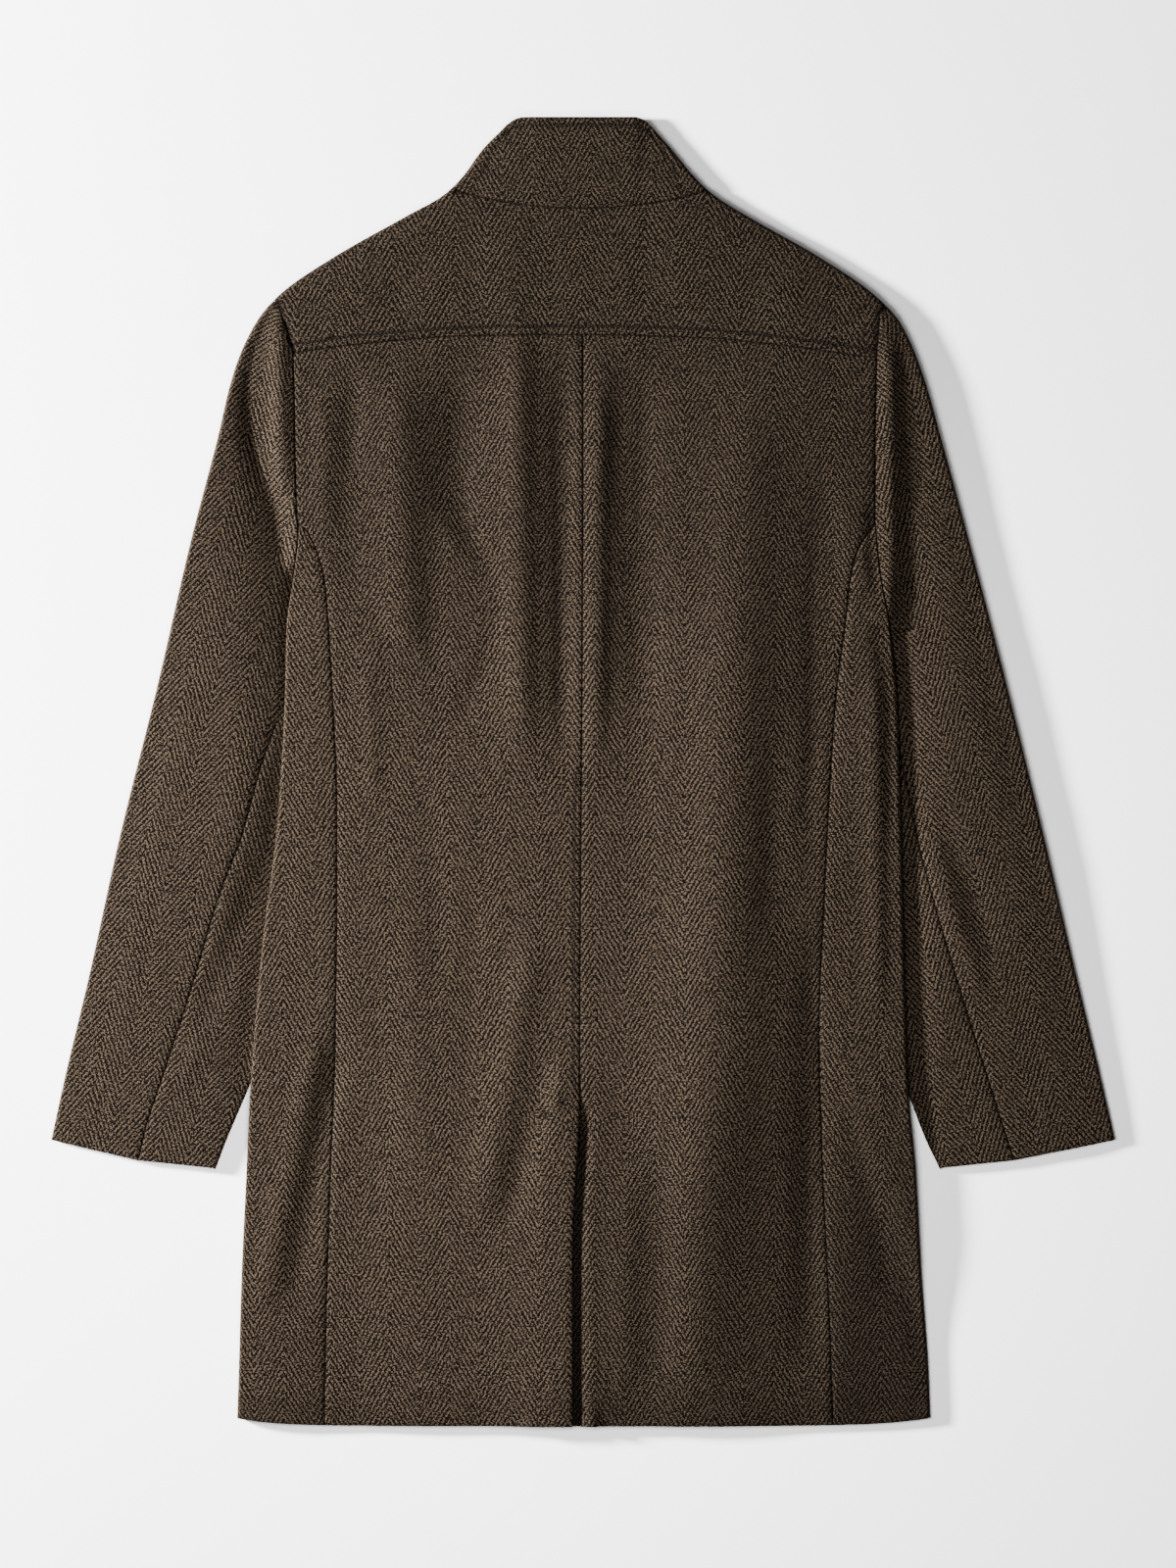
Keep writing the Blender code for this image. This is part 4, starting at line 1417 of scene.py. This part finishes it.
def collar_fold(lines: HalfLines, part: float) -> tuple[Vector, Vector]:
    """The fold at a side of the collar, which turns up into its rounded corner.

    Args:
        lines: The half.
        part: How far up the collar, from 0 to 1.

    Returns:
        The outermost point of the fold and the way in from it.
    """
    crease, inward = lines.on_outline(mix(lines.neck_y + END_GAP, COLLAR_TOP_Y, part))
    corner = COLLAR_TURN.at(part)
    level, upward = lines.at(-1, 0), lines.at(*COLLAR_TURN_WAY)
    turned = inward.lerp(level, 2 * corner) if corner < 0.5 else level.lerp(upward, 2 * corner - 1)
    return crease, turned.normalized()


@dataclass
class Collar(ClothPiece):
    """The stand collar, folded flat at both sides, its ends meeting at the centre front.

    Attributes:
        neck_steps: Columns from the centre back to the fold at each side.
        finer: Into how many columns each step of its front ends is cut.
        rows: Rows from its seam to its upper edge.
    """

    neck_steps: int = 30
    finer: int = 3
    rows: int = 34

    def __post_init__(self) -> None:
        """Works out the lines of its front ends."""
        self.middle_x = (COLLAR_SEAM[0][0] + COLLAR_SEAM[-1][0]) / 2
        self.base, self.head = {}, {}
        for lines in LINES.values():
            crease, inward = collar_fold(lines, 0)
            base = [crease + inward * (YOKE_WRAP + GAP), *(lines.at(*spot) for spot in FRONT_NECK)]
            self.base[lines.side] = spread(base, self.finer)
            self.head[lines.side] = spread([lines.at(*spot) for spot in COLLAR_FRONT_TOP], self.finer)

    @property
    def reach(self) -> int:
        """The columns from the centre back to the centre front."""
        return self.neck_steps + ROLL_STEPS + len(self.base[Side.LEFT])

    def grid(self) -> tuple[int, int]:
        """The columns and rows of the piece's grid."""
        return 2 * self.reach, self.rows

    def spot(self, column: int, row: int, depth: float) -> Spot:
        """One point of the piece, a depth into its wall."""
        lines = LINES[Side.LEFT if column < self.reach else Side.RIGHT]
        step = abs(column - self.reach)
        part = eased(row / self.rows)
        crease, inward = collar_fold(lines, part)
        if step < self.neck_steps:
            return self.back_spot(lines, step / self.neck_steps, part, depth)
        turn = crease + inward * SHOULDER_ROLL
        if step < self.neck_steps + ROLL_STEPS:
            counts, high = (self.neck_steps, ROLL_STEPS, 1), self.lie.back
            fold = FoldedEdge(counts, crease, crease, inward, SHOULDER_ROLL, crease, high, on_floor)
            return fold.spot(step, depth)
        girth = math.pi * (SHOULDER_ROLL + self.lie.back(turn) / 2) / 2
        index = step - self.neck_steps - ROLL_STEPS
        place = turn
        if index:
            place = self.base[lines.side][index - 1].lerp(self.head[lines.side][index - 1], part)
        inside = (place - turn).dot(inward)
        unrolled = place - inward * (girth + 2 * inside)
        return Spot(Vector((place.x, place.y, depth)), unrolled)

    def back_spot(self, lines: HalfLines, share: float, part: float, depth: float) -> Spot:
        """One point of the collar's back, between its seam and its upper edge.

        Args:
            lines: The half.
            share: How far out from the centre, from 0 to 1.
            part: How far up, from 0 to 1.
            depth: The depth into the wall.

        Returns:
            The point.
        """
        ends = [collar_fold(lines, at) for at in (0, part, 1)]
        low, side, high = (crease + inward * SHOULDER_ROLL for crease, inward in ends)
        base = Vector((mix(self.middle_x, low.x, share), 0))
        base.y = COLLAR_SEAM_Y(base.x) + HALF_GAP
        head = Vector((mix(COLLAR_TOP_X, high.x, share), 0))
        head.y = collar_top(head.x)
        place = base.lerp(head, part) + (side - low.lerp(high, part)) * share**3
        hollow = hollow_at(collar_top(place.x) - STITCH_INSET - place.y)
        height = self.lie.back(place) - STITCH_DENT * hollow
        return Spot(Vector((place.x, place.y, height - depth)), place, hollow)


def sleeve_seam_beneath(lines: HalfLines, seam_y: float) -> float:
    """How far up the seam beneath lies the station that belongs to one of the seam on top."""
    if seam_y <= lines.cap_y:
        return mix(LOW_SLEEVE_FOOT_Y, CAP_Y, (seam_y - SLEEVE_FOOT_Y) / (lines.cap_y - SLEEVE_FOOT_Y))
    return mix(CAP_Y, ARMHOLE_TOP_Y, (seam_y - lines.cap_y) / (ARMHOLE_TOP_Y - lines.cap_y))


@dataclass
class TopSleeve(ClothPiece):
    """A sleeve's outer piece: from the back seam over the outer edge to the seam beneath.

    Attributes:
        side: Which sleeve.
        counts: Columns on top, round the fold and beneath.
        low_rows: Rows along the back seam.
        high_rows: Rows along the armhole.
        last_rows: The stations above the armhole's top, the last at the shoulder's end.
        outer_end: The station from which on its outer edge is at the shoulder.
        under_end: How far up the seam beneath follows its line.
        rounder: Where the fold's radius grows to that of the shoulder.
        edge_step: How long the steps are in which its outer edge is measured.
    """

    side: Side = Side.LEFT
    counts: tuple[int, int, int] = (46, ROLL_STEPS, 12)
    low_rows: int = 66
    high_rows: int = 40
    last_rows: tuple[float, ...] = (855.0, 865.0, 872.0, 880.0)
    outer_end: float = 877.0
    under_end: float = 868.0
    rounder: Ramp = Ramp(780.0, 870.0)
    edge_step: float = 8.0

    def __post_init__(self) -> None:
        """Works out the stations of its seam on top."""
        self.lines = lines = LINES[self.side]
        parts = [eased(step / self.low_rows) for step in range(self.low_rows + 1)]
        low = [mix(SLEEVE_FOOT_Y, lines.cap_y, part) for part in parts]
        first = lines.tip_y + 2 * TIP_STEP
        high = [mix(first, ARMHOLE_TOP_Y, step / self.high_rows) for step in range(self.high_rows + 1)]
        tip = (lines.tip_y - TIP_STEP, lines.tip_y, lines.tip_y + TIP_STEP)
        self.stations = [*low, *tip, *high, *self.last_rows]

    def grid(self) -> tuple[int, int]:
        """The columns and rows of the piece's grid."""
        return sum(self.counts), len(self.stations) - 1

    def top_seam(self, seam_y: float) -> Vector:
        """A point of the seam on top: the back seam, and above the tip the armhole."""
        lines = self.lines
        if seam_y <= lines.cap_y:
            return lines.at(lines.back_seam_across(seam_y) + HALF_GAP, seam_y)
        if seam_y <= lines.tip_y:
            return lines.at(lines.edge(seam_y) + 2 * GAP, seam_y)
        if seam_y <= ARMHOLE_TOP_Y:
            return lines.at(lines.armhole_across(seam_y) + HALF_GAP, seam_y)
        start = lines.at(lines.armhole(ARMHOLE_TOP_Y) + HALF_GAP, ARMHOLE_TOP_Y)
        part = (seam_y - ARMHOLE_TOP_Y) / (self.last_rows[-1] - ARMHOLE_TOP_Y)
        return start.lerp(self.shoulder_end(), part)

    def shoulder_end(self) -> Vector:
        """Where the armhole meets the fold of the shoulder."""
        crease, inward = self.lines.on_outline(self.lines.shoulder_y - END_GAP)
        return crease + inward * (SHOULDER_ROLL + CAP_MARGIN)

    def spot(self, column: int, row: int, depth: float) -> Spot:
        """One point of the piece, a depth into its wall."""
        lines = self.lines
        seam_y = self.stations[row]
        outer = min(1.0, (seam_y - SLEEVE_FOOT_Y) / (self.outer_end - SLEEVE_FOOT_Y))
        outer_y = mix(OUTLINE.foot, lines.shoulder_y - END_GAP, outer)
        crease, inward = lines.on_outline(outer_y)
        low_y = sleeve_seam_beneath(lines, seam_y)
        under = lines.at(lines.front_sleeve_seam(min(low_y, self.under_end)) + HALF_GAP, low_y)
        spot = FoldedEdge(
            counts=self.counts,
            top_seam=self.top_seam(seam_y),
            crease=crease,
            inward=inward,
            radius=mix(SLEEVE_ROLL, SHOULDER_ROLL, self.rounder.at(outer_y)),
            under_seam=self.shoulder_end() if row == len(self.stations) - 1 else under,
            high=lambda place: self.lie.sleeve(lines, place),
            low=on_floor,
        ).spot(column, depth)
        offset = spot.cloth - crease
        along = offset.dot(Vector((-inward.y, inward.x))) * lines.sign
        return Spot(spot.co, Vector((offset.dot(inward), self.edge_length(outer_y) - along)))

    def edge_length(self, y: float) -> float:
        """How far along its outer edge a height is from the cuff."""
        steps = max(1, round((y - OUTLINE.foot) / self.edge_step))
        knots = [mix(OUTLINE.foot, y, step / steps) for step in range(steps + 1)]
        points = [self.lines.at(self.lines.outline(knot), knot) for knot in knots]
        return sum((b - a).length for a, b in zip(points, points[1:]))


@dataclass
class UnderSleeve(ClothPiece):
    """A sleeve's inner piece, folded round its inner edge and tucked under the front.

    Attributes:
        side: Which sleeve.
        counts: Columns on top, round the fold and beneath.
        rows: Rows from the cuff to its upper end.
        end_gap: How far under CAP_Y its fold ends.
        turn_end: How far under CAP_Y the way in from its fold stops turning.
    """

    side: Side = Side.LEFT
    counts: tuple[int, int, int] = (30, ROLL_STEPS, 4)
    rows: int = 66
    end_gap: float = 0.5
    turn_end: float = 20.0

    def grid(self) -> tuple[int, int]:
        """The columns and rows of the piece's grid."""
        return sum(self.counts), self.rows

    def spot(self, column: int, row: int, depth: float) -> Spot:
        """One point of the piece, a depth into its wall."""
        lines = LINES[self.side]
        part = eased(row / self.rows)
        seam_y = mix(SLEEVE_FOOT_Y, lines.cap_y, part)
        inner_y = mix(REACH.foot, CAP_Y - self.end_gap, part)
        low_y = sleeve_seam_beneath(lines, seam_y)
        slope = lines.reach.slope(min(inner_y, CAP_Y - self.turn_end))
        return FoldedEdge(
            counts=self.counts,
            top_seam=lines.at(lines.back_seam_across(seam_y) - HALF_GAP, seam_y),
            crease=lines.at(lines.reach(inner_y), inner_y),
            inward=lines.at(1, -slope).normalized(),
            radius=TUCKED_ROLL,
            under_seam=lines.at(lines.front_sleeve_seam(low_y) - HALF_GAP, low_y),
            high=lambda place: self.lie.sleeve(lines, place),
            low=on_floor,
        ).spot(column, depth)


@dataclass
class Stitching:
    """A row of topstitches sunk into a piece of cloth.

    Attributes:
        name: The row's name.
        line: A point of the row for a part from 0 to 1.
        length: The row's length.
        long: Half of one stitch's length.
        thick: Half of the thread's thickness.
        proud: How far the middle of a stitch stands out of the cloth.
        shares: Where a stitch starts, has its middle and ends, as shares of its pitch.
    """

    name: str
    line: Callable[[float], Vector]
    length: float
    long: float = 1.05
    thick: float = 0.34
    proud: float = 0.1
    shares: tuple[float, float, float] = (0.2, 0.5, 0.8)

    def build(self, cloth: bpy.types.Object, finish: bpy.types.Material) -> bpy.types.Object:
        """Lays the row on the cloth.

        Args:
            cloth: The piece that it is sewn through.
            finish: The thread's material.

        Returns:
            The row's object.
        """
        mesh = bmesh.new()
        mesh.from_mesh(cloth.data)
        surface = BVHTree.FromBMesh(mesh)
        mesh.clear()
        count = max(1, round(self.length / STITCH_PITCH))
        for stitch in range(count):
            ends = [self.line((stitch + share) / count) for share in self.shares]
            found = [self.on(surface, end) for end in ends]
            if None in found:
                continue
            run = (found[2] - found[0]).normalized()
            turn = run.to_track_quat("X", "Z").to_matrix().to_4x4()
            size = Matrix.Diagonal((self.long * MM, self.thick * MM, self.thick * MM, 1.0))
            place = Matrix.Translation(found[1] + Vector((0, 0, self.proud * MM)))
            lying = place @ turn @ size
            bmesh.ops.create_uvsphere(mesh, u_segments=6, v_segments=4, radius=1.0, matrix=lying)
        row = object_of(mesh, self.name, finish)
        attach(row, "root")
        return row

    @staticmethod
    def on(surface: BVHTree, place: Vector) -> Vector | None:
        """The cloth's upper face at a place, in metres."""
        above = Vector((place.x * MM, (place.y - ORIGIN_Y) * MM, 0.1))
        return surface.ray_cast(above, Vector((0, 0, -1)))[0]


def level_line(start: float, end: float, height: Callable[[float], float]) -> Callable[[float], Vector]:
    """A line across the coat for a row of stitches.

    Args:
        start: Its left end.
        end: Its right end.
        height: How far up the coat it runs at a place across.

    Returns:
        A point of the line for a part from 0 to 1.
    """

    def point(part: float) -> Vector:
        """The point a part of the way along."""
        x = mix(start, end, part)
        return Vector((x, height(x)))

    return point


def add_node(tree: bpy.types.NodeTree, kind: str, settings: dict, links: dict) -> bpy.types.Node:
    """Adds a shader node with its settings, values and links.

    Args:
        tree: The material's node tree.
        kind: The node's type.
        settings: Properties by name, and socket values by socket number or name.
        links: What feeds each input: a socket, or a node for that node's first output.

    Returns:
        The node.
    """
    node = tree.nodes.new(kind)
    for name, value in settings.items():
        if isinstance(name, int) or name in node.inputs:
            node.inputs[name].default_value = value
        else:
            setattr(node, name, value)
    for name, source in links.items():
        socket = source.outputs[0] if isinstance(source, bpy.types.Node) else source
        tree.links.new(socket, node.inputs[name])
    return node


class Finish:
    """A finish of the coat or of the floor."""

    def material(self, name: str) -> bpy.types.Material:
        """Builds the material.

        Args:
            name: The material's name.

        Returns:
            The material.
        """
        made = bpy.data.materials.new(name)
        made.use_nodes = True
        self.paint(made.node_tree)
        return made

    def paint(self, tree: bpy.types.NodeTree) -> None:
        """Adds the finish's nodes to a new material's."""
        raise NotImplementedError


@dataclass(frozen=True)
class HerringboneWool(Finish):
    """Brushed herringbone wool, woven from dark brown and taupe yarn.

    Its broken twill shows as chevrons that catch the light in bands, under a soft, dry fuzz with
    hardly any gloss. The noises' scales are in swells a millimetre.

    Attributes:
        stripe: The width of one stripe of twill, half a chevron, in millimetres.
        steepness: How many millimetres the twill climbs in one across.
        ridge: The pitch of the twill's ridges across the cloth.
        wander: The scale, detail and roughness of the noise by which the stripes sway.
        sway: How far they sway across, in millimetres.
        shift: How far the twill's ridges shift along them.
        yarn: The noise of the single yarns.
        patches: The noise of the fuzz's lighter and darker patches.
        ridge_share: How much the ridges count in the wool's tone.
        patch_share: How much the patches count in it.
        tones: Where in the mixed tone the dark, the middle and the light colour lie.
        dark: The colour of the dark yarn, drawn nearly black as painted shade in the furrows and between the
            yarns.
        middle: The colour of most of the yarn.
        light: The colour of the taupe yarn on the ridges.
        relief: How high the ridges stand, in metres.
        ridge_relief: How much the ridges count in the relief beside the yarns.
        roughness: The wool's roughness.
        gloss: Its specular level, low because the fuzz scatters light.
        sheen: How much the fuzz catches light from the side.
        sheen_roughness: How broadly it does so.
    """

    stripe: float = 23.4
    steepness: float = 1.755
    ridge: float = 3.8
    wander: tuple[float, float, float] = (0.09, 2.0, 0.5)
    sway: float = 2.2
    shift: float = 3.0
    yarn: tuple[float, float, float] = (0.8, 1.8, 0.6)
    patches: tuple[float, float, float] = (0.1, 3.0, 0.75)
    ridge_share: float = 0.068
    patch_share: float = 0.1
    tones: tuple[float, float, float] = (0.535, 0.567, 0.615)
    dark: str = "050201"
    middle: str = "1a110c"
    light: str = "7e6c59"
    relief: float = 0.0007
    ridge_relief: float = 0.13
    roughness: float = 0.92
    gloss: float = 0.15
    sheen: float = 0.2
    sheen_roughness: float = 0.6

    def paint(self, tree: bpy.types.NodeTree) -> None:
        """Adds the wool's nodes: the weave, its tone by yarn, ridge and patch, and its relief."""
        weave = add_node(tree, "ShaderNodeUVMap", {"uv_map": "weave"}, {})
        to_mm = {"operation": "SCALE", "Scale": 1 / MM}
        millimetres = add_node(tree, "ShaderNodeVectorMath", to_mm, {0: weave})
        wander, yarn, patches = (
            add_node(
                tree,
                "ShaderNodeTexNoise",
                {"Scale": scale, "Detail": detail, "Roughness": roughness},
                {"Vector": millimetres},
            )
            for scale, detail, roughness in (self.wander, self.yarn, self.patches)
        )
        across, along, _ = add_node(tree, "ShaderNodeSeparateXYZ", {}, {0: millimetres}).outputs
        math_node, summed = "ShaderNodeMath", "MULTIPLY_ADD"
        swayed = add_node(tree, math_node, {"operation": summed, 1: self.sway}, {0: wander, 2: across})
        chevron = add_node(tree, math_node, {"operation": "PINGPONG", 1: self.stripe}, {0: swayed})
        climb = add_node(tree, math_node, {"operation": summed, 1: self.steepness}, {0: chevron, 2: along})
        climb = add_node(tree, math_node, {"operation": summed, 1: self.shift}, {0: wander, 2: climb})
        turn = 2 * math.pi / (self.ridge * self.steepness)
        turns = add_node(tree, math_node, {"operation": "MULTIPLY", 1: turn}, {0: climb})
        ridges = add_node(tree, math_node, {"operation": "SINE"}, {0: turns})
        tone = add_node(tree, math_node, {"operation": summed, 1: self.ridge_share}, {0: ridges, 2: yarn})
        tone = add_node(tree, math_node, {"operation": summed, 1: self.patch_share}, {0: patches, 2: tone})
        ramp = add_node(tree, "ShaderNodeValToRGB", {}, {0: tone})
        stops = ramp.color_ramp.elements
        dark, middle, light = self.tones
        stops[0].position, stops[0].color = dark, linear_colour(self.dark)
        stops[1].position, stops[1].color = light, linear_colour(self.light)
        stops.new(middle).color = linear_colour(self.middle)
        # The shade layer multiplies the wool's colour with the light and shade painted on each piece, its
        # seams, its stitches and the vent's slit.
        shade = add_node(tree, "ShaderNodeAttribute", {"attribute_name": "shade"}, {}).outputs["Fac"]
        wool = add_node(tree, "ShaderNodeVectorMath", {"operation": "SCALE"}, {0: ramp, "Scale": shade})
        height = add_node(tree, math_node, {"operation": summed, 1: self.ridge_relief}, {0: ridges, 2: yarn})
        strength = {"Strength": 1.0, "Distance": self.relief}
        bump = add_node(tree, "ShaderNodeBump", strength, {"Height": height})
        shader = tree.nodes["Principled BSDF"].inputs
        tree.links.new(wool.outputs[0], shader["Base Color"])
        tree.links.new(bump.outputs[0], shader["Normal"])
        shader["Roughness"].default_value = self.roughness
        shader["Specular IOR Level"].default_value = self.gloss
        shader["Sheen Weight"].default_value = self.sheen
        shader["Sheen Roughness"].default_value = self.sheen_roughness
        shader["Sheen Tint"].default_value = linear_colour(self.light)


@dataclass(frozen=True)
class BrownThread(Finish):
    """Matt brown polyester sewing thread, which shows as small dark dashes in the cloth.

    Attributes:
        colour: The thread's colour.
        shade: The colour between its plies.
        ply: The pitch of its twist in millimetres, drawn coarse so that it shows at all.
        roughness: The thread's roughness.
    """

    colour: str = "3a2e27"
    shade: str = "241c17"
    ply: float = 0.9
    roughness: float = 0.7

    def paint(self, tree: bpy.types.NodeTree) -> None:
        """Adds the thread's nodes: its two tones and its matt surface."""
        place = add_node(tree, "ShaderNodeTexCoord", {}, {}).outputs["Object"]
        plies = {"Scale": 1 / (self.ply * MM), "Detail": 1.0}
        twist = add_node(tree, "ShaderNodeTexNoise", plies, {"Vector": place})
        ramp = add_node(tree, "ShaderNodeValToRGB", {}, {0: twist})
        ramp.color_ramp.elements[0].color = linear_colour(self.shade)
        ramp.color_ramp.elements[1].color = linear_colour(self.colour)
        shader = tree.nodes["Principled BSDF"].inputs
        tree.links.new(ramp.outputs[0], shader["Base Color"])
        shader["Roughness"].default_value = self.roughness


@dataclass(frozen=True)
class PaleFloor(Finish):
    """A smooth matt floor painted in a very pale, slightly cool white.

    Attributes:
        colour: The paint's colour.
        shown: How many times brighter it is shown than it lights the coat, because the picture
            holds back bright surfaces and would turn it grey.
    """

    colour: str = "f3f1f2"
    shown: float = 5.5

    def paint(self, tree: bpy.types.NodeTree) -> None:
        """Adds the floor's nodes: one paint for the camera and one for the light it gives back."""
        tree.nodes.remove(tree.nodes["Principled BSDF"])
        paint = linear_colour(self.colour)
        bright = tuple(self.shown * share for share in paint[:3])
        lighting = add_node(tree, "ShaderNodeBsdfDiffuse", {"Color": paint}, {})
        shown = add_node(tree, "ShaderNodeBsdfDiffuse", {"Color": (*bright, 1.0)}, {})
        show_to_camera(tree, "Material Output", lighting, shown)


def show_to_camera(
    tree: bpy.types.NodeTree, output: str, lighting: bpy.types.Node, shown: bpy.types.Node
) -> None:
    """Shows the camera one look of a surface or sky, and the rest of the scene another.

    Args:
        tree: The node tree.
        output: The name of its output node.
        lighting: The look that lights the coat.
        shown: The look that the camera sees.
    """
    ray = add_node(tree, "ShaderNodeLightPath", {}, {}).outputs["Is Camera Ray"]
    both = add_node(tree, "ShaderNodeMixShader", {}, {0: ray, 1: lighting, 2: shown})
    tree.links.new(both.outputs[0], tree.nodes[output].inputs["Surface"])


@dataclass(frozen=True)
class Lamp:
    """A lamp that faces the middle of the coat.

    Attributes:
        name: The lamp's name.
        power: Its power in watts.
        size: The radius of a ball or the width of a disk, in metres.
        elevation: Its height over the floor, in degrees.
        azimuth: Its direction round the coat from +X, in degrees.
        distance: How far it is, in metres.
        disk: Whether it is a flat disk, and else a ball.
    """

    name: str
    power: float
    size: float
    elevation: float
    azimuth: float
    distance: float
    disk: bool = False

    def hang(self) -> None:
        """Hangs the lamp."""
        light = bpy.data.lights.new(self.name, "AREA" if self.disk else "POINT")
        light.energy = self.power
        if self.disk:
            light.shape = "DISK"
            light.size = self.size
        else:
            light.shadow_soft_size = self.size
        high, turn = math.radians(self.elevation), math.radians(self.azimuth)
        way = Vector((math.cos(high) * math.cos(turn), math.cos(high) * math.sin(turn), math.sin(high)))
        lamp = bpy.data.objects.new(self.name, light)
        lamp.location = way * self.distance
        lamp.rotation_euler = way.to_track_quat("Z", "Y").to_euler()
        lamp.visible_camera = False
        bpy.context.scene.collection.objects.link(lamp)


@dataclass
class Studio:
    """The camera, the floor and the lights.

    Attributes:
        eye: The camera's place, straight above the coat, in metres.
        lens: Its focal length.
        sensor: The width of its sensor in millimetres.
        key: The low light from the picture's left that draws the folds and the coat's shadow.
        fill: The weak light from above that opens the shadows.
        sky: The brightness of the light from all round.
        backdrop: The colour beyond the floor.
        backdrop_shown: How many times brighter it is shown, as the floor is.
        floor_half: Half the floor's width, in metres.
        floor_drop: How far it lies under the coat, so that the two don't touch.
    """

    eye: tuple[float, float, float] = (0.00385, -0.00924, 2.748)
    lens: float = 80.0
    sensor: float = 36.0
    key: Lamp = Lamp("key", power=704.0, size=0.17, elevation=16.5, azimuth=168.0, distance=2.6)
    fill: Lamp = Lamp("fill", power=3.3, size=0.5, elevation=73.0, azimuth=245.0, distance=0.9, disk=True)
    sky: float = 0.05
    backdrop: str = "ececec"
    backdrop_shown: float = 4.0
    floor_half: float = 1.5
    floor_drop: float = 0.0003

    def build(self) -> None:
        """Sets up the floor, the lights, the world and the camera."""
        self.floor()
        self.key.hang()
        self.fill.hang()
        self.surroundings()
        camera = bpy.data.cameras.new("camera")
        camera.lens = self.lens
        camera.sensor_width = self.sensor
        camera.sensor_fit = "AUTO"
        camera.clip_end = 50.0
        shown = bpy.data.objects.new("camera", camera)
        shown.location = self.eye
        bpy.context.scene.collection.objects.link(shown)
        bpy.context.scene.camera = shown

    def surroundings(self) -> None:
        """Sets up the even light from all round and the plain backdrop."""
        world = bpy.data.worlds.new("studio")
        bpy.context.scene.world = world
        world.use_nodes = True
        tree = world.node_tree
        around = tree.nodes["Background"]
        around.inputs["Color"].default_value = (1.0, 1.0, 1.0, 1.0)
        around.inputs["Strength"].default_value = self.sky
        look = {"Color": linear_colour(self.backdrop), "Strength": self.backdrop_shown}
        seen = add_node(tree, "ShaderNodeBackground", look, {})
        show_to_camera(tree, "World Output", around, seen)

    def floor(self) -> None:
        """Lays the floor just under the coat."""
        mesh = bmesh.new()
        bmesh.ops.create_grid(mesh, x_segments=1, y_segments=1, size=self.floor_half)
        bmesh.ops.translate(mesh, verts=mesh.verts[:], vec=(0, 0, -self.floor_drop))
        object_of(mesh, "pale_floor", PaleFloor().material("matt_pale_floor_paint"))


class Topcoat:
    """The whole coat, piece by piece."""

    def __init__(self) -> None:
        """Chooses the finishes and how the layers lie, and makes room for the built pieces."""
        self.wool = HerringboneWool().material("brushed_herringbone_wool")
        self.thread = BrownThread().material("brown_sewing_thread")
        self.lie = Lie()
        self.pieces: dict[str, bpy.types.Object] = {}

    def cut_pieces(self) -> list[ClothPiece]:
        """The cut pieces with their flat sizes, from the collar down and from the back inwards."""
        lie = self.lie
        # The grains' shares below paint light and shade into the wool: lighter on the left, towards the key
        # lamp, and darker on the yoke, the collar, towards the shoulders and on the lower right.
        grain = Grain(scale=1.06, painted_lightness=0.81)
        cut = [
            Yoke("back_yoke", lie, Cut(0.49, 0.15, 0.052), grain, ("front_left", "front_right")),
            Collar("collar", lie, Cut(0.46, 0.1, 0.024), Grain(start=8, painted_lightness=0.84), wall=COLLAR_WALL),
        ]
        for side in Side:
            name, sign = side.value, side.sign
            under = (f"top_sleeve_{name}", f"under_sleeve_{name}")
            if side is Side.LEFT:
                fronts = ("front_left", "front_right")
                back = Grain(mirror=sign, start=12.6, painted_lightness=1.1, upper=0.24)
                beside = Grain(mirror=sign, start=2, painted_lightness=1.05)
                sleeve = Grain(start=23, painted_lightness=1.06)
            else:
                fronts = ("front_right",)
                back = Grain(mirror=sign, start=10.6, painted_lightness=1.0, upper=0.2, lower=0.14)
                beside = Grain(mirror=sign, start=2, painted_lightness=0.96, lower=0.36)
                sleeve = Grain(start=38)
            inner = Grain(sign * 14.5, sign, 5)
            cut += [
                BackPanel(f"back_{name}", lie, Cut(0.24, 0.86, 0.175), back, fronts, side=side),
                SidePanel(f"side_{name}", lie, Cut(0.13, 0.712, 0.072), beside, under, side=side),
                FrontPanel(f"front_{name}", lie, Cut(0.26, 0.96, 0.212), back, side=side),
                TopSleeve(f"top_sleeve_{name}", lie, Cut(0.28, 0.7, 0.141), sleeve, side=side),
                UnderSleeve(f"under_sleeve_{name}", lie, Cut(0.14, 0.49, 0.05), inner, side=side),
            ]
        return cut

    def build(self) -> None:
        """Builds each piece and sews the rows of topstitching on."""
        for piece in self.cut_pieces():
            made = piece.build(self.wool)
            self.pieces[piece.node] = made
            LOG.info("%s: %d faces", made.name, len(made.data.polygons))
        for node, row in self.stitch_rows():
            made = row.build(self.pieces[node], self.thread)
            LOG.info("%s: %d faces", made.name, len(made.data.polygons))

    @staticmethod
    def stitch_rows() -> tuple[tuple[str, Stitching], ...]:
        """The rows of topstitching, each with the node of the piece it is sewn through."""
        yoke = level_line(-226, 229, yoke_stitch_y)
        collar = level_line(-58, 50, lambda x: collar_top(x) - STITCH_INSET)
        foot, end = VENT_STITCH
        return (
            ("back_yoke", Stitching("stitches_yoke", yoke, length=460)),
            ("collar", Stitching("stitches_collar", collar, length=108)),
            ("back_left", Stitching("stitches_vent", lambda part: foot.lerp(end, part), length=36)),
            ("back_left", Stitching("stitches_centre", centre_stitch, length=250)),
        )


def main() -> None:
    """Loads the frame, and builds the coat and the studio."""
    logging.basicConfig(level=logging.INFO, format="%(name)s: %(message)s")
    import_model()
    Studio().build()
    Topcoat().build()


if __name__ == "__main__":
    main()
